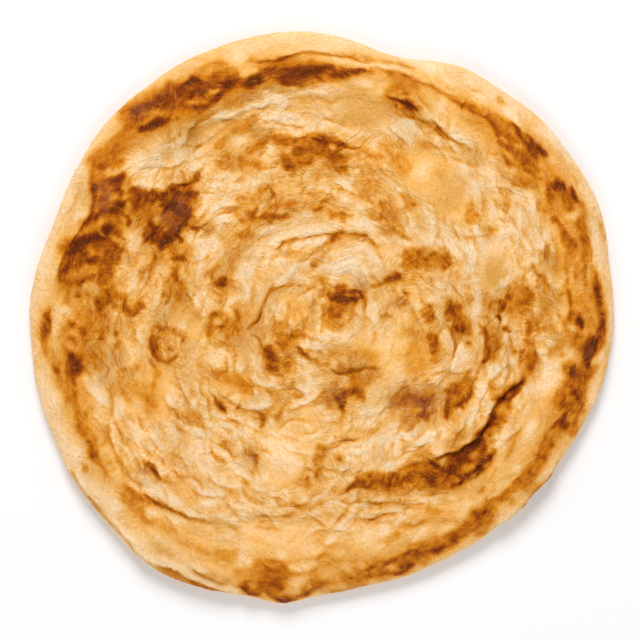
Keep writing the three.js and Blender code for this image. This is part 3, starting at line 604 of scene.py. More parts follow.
    0.7: strokes("""
        -63 68 3.4, -58 69 4.4, -52 71 4.4, -46 74 4, -40 76 4, -34 77.5 4, -28 78.5 3.4,
        -22 79.6 2.6, -16 81.4 2.6, -9 81 3.8, -3 81 3.2, 4 81.8 2, 11 82 1.4; -74 51 1.6,
        -72 49 1.2; -63 66 1.6, -60 63 1.4; -83 22 3.4, -78 24 4, -72 26 3.6, -68 24 2.4;
        -12 53 1.6, -11 51 1.6, -9 49 1; -10 54.8 .5, -7 54.5 .5; 4 53.5 .5, 4.2 50 .5; -36 81 1.4,
        -32 81 1.4; 3 10 .3, 6 10.8 .5, 8.4 11.2 .5, 9.6 11.6 .5; 3 8 .8, 2.2 6.6 .6; 3.4 2.4 1.2,
        5.4 3 1.4, 5.6 1 1.2; 11 4.4 .9; 26 80.6 .5, 28 80.8 .6, 29.6 80 .5; 25 77.2 .7, 27 76.4 .9,
        28.6 76.4 .5; 25.4 74.2 .7, 27.6 74.4 .6, 28.8 74.2 .4; 31.8 78.6 .5; 14.6 83 .9,
        16.4 82.4 .8; 43 73.4 .4, 46.6 71.6 .6, 49.6 69.8 .9; 67.4 45.6 .6, 69.2 45.8 .5;
        67.4 43.8 .5; 75 39.6 .3, 76.6 39.4 .4; 78.4 39.2 .4; 76 38 .6, 77 36.6 .5; 77.4 33.4 .8,
        78.8 32 .6, 80 30.4 .8, 81 28.4 .8; 81.4 28 .8, 82.6 26 .5, 83.6 25 .4; 82 24.4 .9;
        84.8 23.8 .6; 86.8 19.4 .6, 87.8 19.2 .7, 87.6 17 .6; 25 4.6 .3; 28.1 4.6 .4; 33.8 1.2 .9,
        35.6 1 1.1, 37.4 .4 .9; 37 -13.8 .4, 38.4 -14.8 .4; 57 -5.6 .9, 58.4 -7 .6, 59 -9 .8,
        59.2 -11 .5; 54.6 -.3 .5, 56 0 .5; 70.6 2 .4, 70.8 0 .4; 68.6 -12.4 .6; 71 -12.6 .6,
        71.2 -14 .5; 68.8 -15 .6; 64 -11 .8; -65 -57.4 .7, -63.8 -58.4 .9, -63 -59.4 .5;
        -75.8 -30.6 .6; 28.6 -25.4 1.1; 36.6 -26.6 1.3; 32.4 -26.6 1, 31.6 -27.6 1; 44 -31.6 .8;
        41.4 -24.4 .8; 48.4 -27.6 .6; 62 -26 2, 60 -29.6 2.2, 59 -33 2, 56.6 -36.4 1.8;
        41 -53.6 1.6, 43 -54 1.6, 40 -55 1.4; -50 -83.8 .4, -47.6 -84.8 .5, -44.4 -87 .6,
        -41.4 -89 .7, -38.4 -90.4 .8, -35.6 -91.4 .8, -33 -92 .6, -31.4 -92.2 .3
    """),
    0.72: strokes("""
        -86.4 12.4 1.4, -84 11.2 1.8, -81.4 11.6 1.3, -79.2 12.4 .9; -73 20 2.2, -72 17 2,
        -72.4 13 2, -74 11.4 1.4; -52.8 33 1.3, -51 32.2 2, -50 34 1.6, -49 31 1.4; -50.6 20.2 .8,
        -48 20 .7, -46.2 20 .8; -51 22 .6; 6.4 -16.2 .9, 9 -16.8 1.1, 12 -17 .7, 15 -16.6 .6,
        17 -16.2 .7, 18.6 -17.4 .6, 19.2 -18.4 .4; 5.2 -17.8 .4, 6.2 -19 .5; 79.8 -30.4 .8;
        87.6 -27.6 1; 84.6 -32 .4, 86 -32.6 .3; 76 -37.6 .6; 75.4 -40.6 .9; 76.6 -43 1,
        77.6 -42.4 .6; 75 -44.6 .6, 74 -46 .9, 72.6 -46.8 .7; 68.8 -50.8 .8, 70 -50 .5; 64.8 -56 .9,
        63.6 -57.4 .7; 62 -58.6 .7; -42.6 -84 .4, -40.4 -85 .7, -38.4 -86 .9, -36.4 -87 .7;
        -26 -88.6 1.4, -24 -90 1.8, -22.4 -91 1.4; -16.6 -89.6 1.2;
        -64 66 2, -58 68.5 3, -50 71 3, -42 73.5 3, -34 76.5 2.4, -28 79.5 2;
        -72 36 2.4, -70 30 2.6, -69 24 2.4, -71 18 2.2;
        62 60 1.8, 67 55 2, 71 50 1.8; 12 -55.5 1.4, 20 -55 1.6, 28 -54 1.6, 36 -52.5 1.8
    """),
    0.74: strokes("""
        -53 37.4 1.4, -51.6 40 1.6, -49 42.6 1.4, -46 43.6 1.4; -44.6 41 2, -42.6 40.6 1.6;
        -51 37.6 2, -49.6 38.4 1.6, -46.6 38.6 2; -48 29 .5, -48.2 27 .5; -46.4 30.6 .5,
        -44.8 31.4 .5; -43 45.8 .9, -41 47.4 .8; 61 -24.6 1.2, 65 -22.8 1.6, 67 -21.6 1.4;
        -19.4 -33 .7; 18.4 -37.6 .3, 20.4 -37.4 .3; -.6 -50.8 .4, -1.4 -52.4 .6, -2 -53.2 .4;
        6.2 -47.2 .6; 48.6 -69.2 1; 43 -76 .6; 21.6 -81.4 1, 20.6 -80.6 .7; -73 39 1.8, -72 42 1.4;
        -62 47 1.6; -80 30 1
    """),
    0.76: strokes("""
        -17 44.2 .5, -16.4 42.4 .6, -16 40.2 .4; -23.4 35.8 .4, -21.4 36.6 .5, -20.4 37 .4;
        -55.2 -12.8 .6, -53.6 -14.2 .7, -51.4 -14.8 .7, -49.4 -13.8 .6, -48.4 -12.4 .5;
        -54.4 -6.4 .3, -53.6 -7.4 .3; -57.8 -13.4 .3, -56.6 -14.8 .5, -55.4 -16.6 .4; -29.2 2.6 .4,
        -28.2 1.2 .4, -27.2 -.2 .4; 47 70 .5, 50.6 67.6 .5, 54 66 .5, 56.4 64.6 .6, 57.6 62.6 .8,
        59 60.6 .9; 58.8 58.2 .6, 60.6 56.8 .6, 62 56.2 .5; 60.6 53.3 .5, 62 52.4 .6; 62.6 54 .5;
        63 51 .6, 66.4 50 .5, 68.6 48.8 .5, 70.4 47.6 .5, 72 46.8 .5, 73.6 46.2 .5; 67 57.4 1.8,
        70 56.4 1.8; 67 54.4 2, 70 54.6 2.1, 71.6 56.6 1.5; 74.6 46.8 .3, 76.4 46.9 .4; 79.4 -13 .4,
        80.6 -12.2 .4, 81.8 -11.6 .3; 79.8 8.2 .5, 80.6 7.4 .4; 82.4 0 .6, 83.2 -1.2 .5;
        84.8 -5.2 .4, 86.4 -6.6 .4; 50.2 -20.6 .5, 49.6 -23 .6, 48.8 -26 .6; 21 -54.8 .7,
        23 -55.2 .8, 25 -54.8 .6; 34.6 -46.8 .3, 36.2 -47.8 .3; -7 -92.8 1.2, -5 -91.8 1.2,
        -4 -91.6 .9; 20 -80.6 .9, 21.4 -82 1, 23.4 -80.4 1, 24.8 -80 .8; 20.4 -85.4 1, 22 -86 .6,
        18.6 -85.6 .6, 16.4 -86.4 .5
    """),
    0.78: strokes("""
        -73.4 5.6 2, -71.5 7 1.3, -74.2 3.6 1.2; -65.6 5.8 1, -65.6 3.6 .9, -64.2 2 .7; -84.6 -1 .4,
        -83.5 -2.2 .5, -82.7 -3.5 .4; -83.3 -6.5 .4, -82.3 -8 .7, -81.7 -8.8 .6; -91.3 .5 1.1,
        -91.6 -2 1.3, -91.8 -4.5 1.3, -92.4 -7.5 .8; -89 -17.5 .9, -87.6 -18.4 .6; -82.8 -20.4 .7,
        -82.4 -22.4 .5; -43.4 29.8 .6, -41.5 30.3 .5, -39.5 30.8 .5, -37.9 31.5 .8, -37.4 32.5 .4;
        22 12.2 .6, 24 12.8 .7; -18.4 -10.6 .9, -18 -13.2 .7; 7 -24.6 .8, 9.4 -24.4 1, 11 -25 1;
        -8 56.2 .7; -9.6 54.8 .3, -8 54.4 .4, -6.4 54.4 .3; -11.6 53 .6, -10.6 51 1, -11.4 49.4 .8,
        -12.4 49 .5; 4.1 53 .3, 4.1 50.4 .3; 1.4 52.6 .3; 6.6 52.6 .3, 6.8 50 .3; 2 25.6 .4,
        3.6 27 .7, 5 28.1 .6, 7.4 28.3 .7; 28.6 19.4 .6, 28.4 17.6 .9, 28.4 16.4 .6; 32.8 21.6 .7,
        33.8 20.2 .8, 35.6 19.2 .6, 36.8 18.8 .4; 37 21.4 .8; 41 19.4 .9; 89 -8 1.6, 88 -11 1.8,
        91.4 -8.6 1.4, 90.6 -11 1.2, 88.6 -14.6 1.4, 88.4 -17.6 1; -66.1 -50.1 .4; -37.2 -26 .4,
        -35.6 -27.8 .6, -34 -29.6 .9, -32.4 -31.2 .7, -31 -32.4 .3; -26.8 -28.6 .3, -27.4 -30 .7,
        -28.4 -31 .4; 14.4 -56 1, 16.6 -55.4 1, 15 -56.8 .8; 20.6 -54.8 .6, 22.6 -55.2 .9,
        24.4 -54.8 .9; 50 -45 2.4, 47 -47.6 2.6, 50 -48.6 2, 53 -44 1.8, 45 -48 2; 81 -26.8 .9;
        80 -29 1.2, 82 -29.4 .8, 83.6 -28.6 .6; 81.4 -31 .4; 85.6 -21.6 .6; 65.4 -53.6 .5
    """),
    0.8: strokes("""
        -56.6 -6 .8, -56.6 -8 1, -57 -10 1, -55.8 -11.8 .8; -36.1 1.8 .8, -36.4 .6 .5;
        -31.6 -1.7 .4, -32.2 -2.8 .6, -33.4 -3.8 .4; 35.6 -4.8 .4, 36.2 -6.6 .7, 37.2 -8.6 1.3,
        37.4 -11 1; 42.2 -.8 .5; 46.6 -2.4 .8, 47.2 -4 1.2, 46.6 -5.2 .8; 59 5.8 .5, 60.2 4.4 1.1,
        59.4 3 .9; 61 -2.3 .4, 61.8 -3.4 .8, 63 -4 .5; 69.8 -1.6 .4, 69.9 -4 .6, 69.2 -6.4 .7;
        85 -19 .6, 85.6 -21.4 .6; 86 -16.6 .5; -25.6 -44.8 .9, -24.4 -44.8 .5; 5.8 -26.6 1,
        7.4 -27.4 1.2; 42 -26.6 .5, 42.4 -28.8 .6; 42.4 -30.4 1, 42 -32 1, 42.2 -33.4 .8;
        51 -65.6 .7, 52.4 -66.4 .6, 50.4 -64.8 .5; 34.6 -78.6 1, 33 -78 .7, 35 -79.6 .8;
        31.8 -79.6 .8, 31.4 -80.8 .6; 27.4 -78.6 .6, 29 -78 .7; 24 -80.4 1; 23.6 -85.6 .6;
        -62 69.5 2.2, -56 72 2.4, -50 74.5 2.2, -44 76.5 2, -38 78 1.8;
        -78 33 2.2, -76 28 2.6, -74 23 2.4, -79 20 2.2, -82 16 1.6;
        -60 42 2, -56 40 2.2, -62 37 1.8
    """),
    0.82: strokes("""
        -69 28 .8, -66 25.8 .8; -69.5 24.6 1.1, -67 22.6 1; -64.2 41.6 .8, -62.4 43 .8; -61 39.6 1,
        -58 41.6 1.4, -56 43 1; -59.5 27.6 1.1, -57 27.4 1.9, -55 26.4 2; -57 31 1.1; -19.5 82 .8,
        -16.5 82.4 .9; -50.5 77 1.5; -58 70.6 1.5; 3 56 .5, 1.4 54.6 .5; -25.6 35.4 .4, -24 35 .7,
        -22 34.2 .8, -20 33.6 .8, -18 34.2 1, -16 33.8 1, -14 33.8 .7, -12 33.9 .6, -10.2 33.8 .4;
        -16.7 31.8 .7; -48.9 14.2 .8, -48 12.9 .7, -49.3 12.4 .5; -49.3 -4.5 .6; -50.6 19.8 .4,
        -46.4 19.8 .4; 26.6 70.4 .6, 28.6 69.8 .7, 31.6 69.3 .7; 53 -2.4 .5, 54.6 -3.6 .5,
        54.8 -6 .6, 55.2 -9 .8, 55.6 -13.4 .9, 54.6 -15.2 .7; 82.2 9 .5, 82.8 6.8 .6, 83 4.8 .7,
        83.4 3 .4; -77.5 -40.6 .5, -76.9 -42.4 .8, -76.2 -44.4 1.1, -76 -46.4 .8; -59 -58.5 .3,
        -57 -59.9 .5, -54.6 -61.5 .8, -52 -62.8 .6, -49.6 -64.2 .6, -47 -65.2 .6, -44.6 -66 .4;
        8.6 -58.2 .8, 9.6 -56.8 .8, 11 -55.4 .8; -29.2 -89.4 .4; -34.6 -91.8 .5
    """),
    0.84: strokes("""
        -83 -17.5 1.8, -81.6 -18.2 1.5; -55.8 29.6 1.2, -57 28 2, -58.4 26.4 1.2, -54.8 27 2.2,
        -56 25.2 1; -48 26.8 .5, -47.2 25.3 .8; 68.4 60.6 .6, 69.8 58.8 .7, 69 56.8 .8; 69.6 53.6 1;
        76.6 43.6 1.5, 78.6 43.4 1.9, 78.6 45.8 1; 80 42.2 .4, 82.4 42.2 .4; 79.8 30.6 .4;
        82.6 26.4 .3, 84.2 24.8 .3; 26.4 10.2 .4, 27.4 9 .5, 28.9 8.3 .4; 35.8 4.6 .5, 36.8 3.9 .7;
        35.4 -1 .3, 37 -1.1 .3; -82.5 -20.6 1.2, -81.4 -22.4 .5; 34 -27.6 1.4, 34.4 -29.4 1.1,
        35 -31.6 1.2, 34.4 -33.6 .9, 33 -33 .8; 55.6 -36.4 1.2, 56.8 -36.6 .7; 31.6 -51.4 1,
        33 -52.6 1.2, 31 -53 .9; -14 -94 1.2, -12 -94 1.6, -10 -93.2 1, -8.8 -93.4 .8; -12 -95.4 .9;
        -5.6 -91 .9; -2.4 -89.8 .8, -1 -88.8 .8, .8 -87.8 1, 2 -88.2 .6; 46 -50 1.4, 50 -48 1.6,
        54 -45.6 1.2; 54 -34 .8
    """),
    0.86: strokes("""
        -57 -9.4 .9, -56 -10.6 1.1, -55.2 -12.4 .9; 37.5 64.9 .3, 39 64.4 .4, 40.2 63.2 .4;
        24.6 -52.4 .6; 79 -35 .9, 77.6 -36 .6; 44.6 -73.6 1.2, 43.4 -74.6 1
    """),
    0.88: strokes("""
        -76 43.4 1.1, -76 41.4 .9, -76.6 37 .5, -76.8 34.6 .7, -79 31.4 1.3, -76.4 32 1.3,
        -74 33.2 1.1, -72 34.6 .9; -69.4 45 1.1, -66.6 46.6 1.8, -64.9 48 .9; -68 43 1.2,
        -66.8 41.6 .8; -70 34.6 .6, -66 34.5 .6, -64.8 33.2 .6, -64.6 31.4 .5; -62 68 2, -61 71 1.1;
        -55.4 71 1.5, -52 71.5 1.2; -49.2 74.6 1.8, -48 73.4 1; -44 74.4 1.6, -41 74.6 1.9,
        -40 76 1; -45.4 69.5 .9, -42 69.6 1, -39 70.2 1.1, -36.6 71.6 1.3, -34 73 1.1;
        -14.6 80.4 1.1, -11 81 2.6, -7 81.2 3, -3.6 81.8 2.4, 0 82.8 1.4, 3 83.2 .8; -13 78.2 .9,
        -10 77.6 .9, -7 77.7 .7; -3 58.9 .8, 0 58.6 1.2, 3 58.4 .8, 6 57.5 .8, 8 57 .5; 5 80.2 .7,
        8 81.4 1.4, 12 82.4 1.2; -78.4 12.2 .8, -76.2 13.5 .8; -80 11 .4; -77 19.5 1.4, -75 20 1.2;
        7.4 8 1.4, 5.4 7.6 1, 9.8 7.6 1, 11.6 6 .6; 5.8 1.1 .7; 59.4 5.6 .4; 60.4 3 .4;
        -35.4 -27.8 .4, -33.6 -29.6 .5, -32 -31.4 .4; -59.4 -47.2 .4, -57.8 -48.8 .6,
        -56.6 -49.8 .7; -55.2 -51.2 .9, -54.6 -52.6 .9, -54 -53.4 .4; 44.8 -24.6 .9; 44.6 -28.6 .9,
        45.8 -27.6 .6, 47.4 -26.4 .5, 48 -25 .5
    """),
    0.9: strokes("""
        -84 19.4 .9, -85.4 15.8 1.2, -86.6 14.5 .7; -53.2 37.8 .5, -52.5 40.5 .7, -50.5 42.6 .7,
        -47.5 44.2 .7, -45 44.6 .9, -43.4 44.4 .8; -48.6 41.4 .5, -46 41.2 .7, -43 41 1; -1 57.6 .8,
        .6 57.8 1, 3.6 58.2 .6, 5.6 57.4 .5, 8 56.8 .5; 36 -5.8 .4; 37.4 -11.6 .5; 44.4 -1.4 .3,
        45 -3.4 .5, 45.4 -4.8 .5; 47.6 -4.4 .6; 82 1.2 .5, 84 1.6 .6, 85.4 .2 .8, 86 -1.4 .8;
        83.6 -16.6 .6, 83.2 -18.6 1, 83.6 -20 .6; -18 -92.4 .4, -16.4 -93.6 .6, -15 -94.4 .6;
        17.8 -83 .7
    """),
    0.92: strokes("""
        -83 8.6 .3, -81.6 7.8 .6, -80.6 7.4 .5; 64.4 64.2 .5, 65.6 62.2 .8, 66.6 60.2 .8,
        67.6 58.6 .6; 66.6 51.9 .8, 68.6 52.2 .6; 55.2 -9.4 .4; 55.7 -13 .6; 64.6 -22.4 .7,
        62.6 -23.6 .7, 61 -24.4 .7; 60.4 -26.4 1, 62.6 -27.4 1.2, 64 -25.4 1; 54.6 -41.6 .5,
        54 -43.6 .9, 53.6 -46 1; 49.6 -43 1.1, 47.6 -43.6 1, 45.6 -44.6 1, 44.6 -46 1; 43.6 -47.4 1,
        44.6 -48.6 1.2, 47 -47.6 1.2; 46 -54.4 .8, 48 -53.8 .5, 50 -52.6 .4, 52 -51.4 .4,
        54.4 -49.6 .4; 36 -53.6 1, 37.8 -53.8 .9, 37.6 -55.4 .9, 35 -54 .8
    """),
    0.93: strokes("""
        -17 -9.4 .8, -16.6 -11.4 1.1, -15.8 -13.4 .9; -16.8 -16.9 .8, -15.4 -16.6 .5; 21 12.4 .4,
        23 13 .4, 24.8 13.4 .4, 26.2 14.2 .5; 54 -65 .6, 55.4 -64.2 .7; 40.4 -76.2 .7, 39 -77 .8,
        37.6 -78 .9, 36.6 -77.4 .6
    """),
    0.94: strokes("""
        -49 41 .5, -50.2 39.2 .7, -51.8 36.6 .8, -53.4 34.2 .8, -53.9 33 .5; -49.6 36.4 1.5,
        -48 37.4 .9, -47.4 35.6 1.8, -45.4 36.6 1.4, -45.2 34.2 1.4, -46.6 33 1.2; 10 9 .5,
        11.6 8.6 .5, 13 8.2 .4, 13.9 6.6 .4, 14.1 6 .3; 4 80.6 .9, 7.4 81.2 1.3, 10 81.8 1.2,
        13 82.6 .9; 60 -24.4 .5, 63.4 -23 .5, 65.4 -21.6 .5; 7.8 -25.4 .9, 8.8 -24.6 .7;
        6.6 -24.4 .5; -13 -93.4 .8, -11 -93.2 .8, -9.6 -93.4 .8
    """),
    0.95: strokes("""
        -82.8 -12.6 1.1, -82 -14.4 2.2, -81.2 -15.8 2; 92 -8.6 .5, 91 -11 .5, 90 -13 .5; 94 -.6 .4,
        92.8 -3 .5, 91.8 -5 .4; 94.6 -1.4 .4, 93.8 -4 .6, 93.2 -6.6 .5; 93.2 4 .4, 92.4 7 .5,
        91.6 9.8 .5, 91.4 12 .5, 92 14.6 .3
    """),
    0.96: strokes("""
        -32.8 13.6 .5, -32.8 11.8 1.2, -33.6 11.2 .7
    """),
    0.97: strokes("""
        -84.4 21.4 1.3, -81.6 24 2.4, -78 26 1.8, -74.6 26.8 1.8, -71 28.8 1.7; -70.4 35.8 1,
        -68.6 36.6 1.6, -66.8 38.2 1; -59.4 63 .9, -57 63.1 1.3, -55 65 1.6, -52.6 66 1.1;
        -45 78.1 .9, -42.6 79.1 1.4, -40.6 78.6 1; -34.4 74.4 1.2, -33 76.4 1.2, -30.6 78 1.9;
        -24.2 76.9 1.3, -22 79 1.4, -20.2 80.6 1.1; -14.8 86.2 .4, -12.4 87 .6, -10.8 87.7 .4;
        71.4 56.8 1, 72.6 55.2 1.1, 74.2 54.2 .8, 75.2 54.8 .6; 71 55.4 .7; 77.6 44.6 .8,
        79 44.4 1.2, 79.8 42.8 .9; 82.8 42.8 .6, 83.8 41 .8, 84.6 39.8 .7; -23 -44.6 .6,
        -22.4 -46.4 .8, -22.2 -48 .8, -22.6 -49.2 .5; -26.6 -89.2 .6, -24.8 -91 .9, -22.8 -92.2 1,
        -21 -92.9 .6
    """),
    0.98: strokes("""
        -7.7 -9.4 .3, -6.4 -10.8 .4, -4.8 -12.2 .5, -3.6 -13.2 .4; 22.4 73 .4, 24.4 72.3 .5,
        26.6 71.8 .6, 28.6 71.3 1.1, 30.6 70.4 1, 32 69.8 .7; 83.2 -23 .5, 83.6 -24.6 .6;
        6.2 -29.4 .9, 7 -30.8 .8, 7.8 -28.4 .6; 58.6 -26.6 .7, 57.8 -28.4 .7, 57 -30.6 .6,
        56.4 -32.4 .9; 56.8 -33.4 1.2, 58.6 -33.6 1, 59.6 -33.4 .5; 55.4 -34.8 .9, 54.4 -36.4 .9,
        53.8 -38 .8; 53.4 -38.6 1, 52.4 -40.6 1.3, 51.4 -42.6 1.5; 53.2 -41 1.2; 42 -49.6 .9,
        44.6 -50.4 1.1; 81 -33 .8, 80.4 -34.6 1.2, 81.4 -35.8 1.1, 82.2 -37.4 .8
    """),
    0.99: strokes("""
        42.8 7.2 .4, 43 5.2 .6, 43.2 3.8 .8, 42.2 2.4 .5, 41.4 1.4 .5; 43.8 3 .6, 44.6 1.4 .6,
        45.2 0 .4; 67.4 -20.4 .6, 67.8 -22 .6; 65 -24 .6, 66.2 -23.8 .7; 27 -82.8 .8, 28.4 -83.4 .9,
        29.4 -83.6 .5; 30.4 -82.3 .6; 26.4 -84.8 .7, 25.4 -85.4 .6
    """),
    1.0: strokes("""
        -46.4 32 .7, -47.8 30.4 .9, -49.4 28.6 1.3, -51.2 26.8 1.7, -52.6 25 1.5, -53.8 23 .9;
        4 6 .7, 6 6.2 1, 8 6.4 .9, 10.4 6.4 .8; 5.8 5.2 .5, 8.4 5.2 .8; 58.2 .8 .4, 59.2 .4 .7,
        59.8 -.6 .4; 85.4 -2 1, 84.4 -1.6 .6, 86.4 -2.8 .5; 90 -6.8 .6, 92.2 -6.8 .5; 91.6 -7.6 1,
        90 -9 1, 88.6 -10.6 1.2, 88.4 -12.4 1; 88.6 -14.8 1, 89 -15.4 .6; 93.8 2.2 .4, 94.4 .8 .5,
        95.2 -.2 .3; 36 -47.6 .3, 38 -48.4 .5, 40 -49.8 .7, 42 -51 .9, 44 -51.8 .8, 46 -52.4 .8,
        48 -52 .7, 49.6 -50.6 .8, 51.6 -49.4 .9, 53.4 -48 1.1, 55.4 -46.8 1, 56.6 -46.6 .5;
        83.2 -22.6 .4, 83.6 -25 .6, 84.8 -27 .5, 86.2 -29.6 .4, 87.8 -32 .4
    """),
}

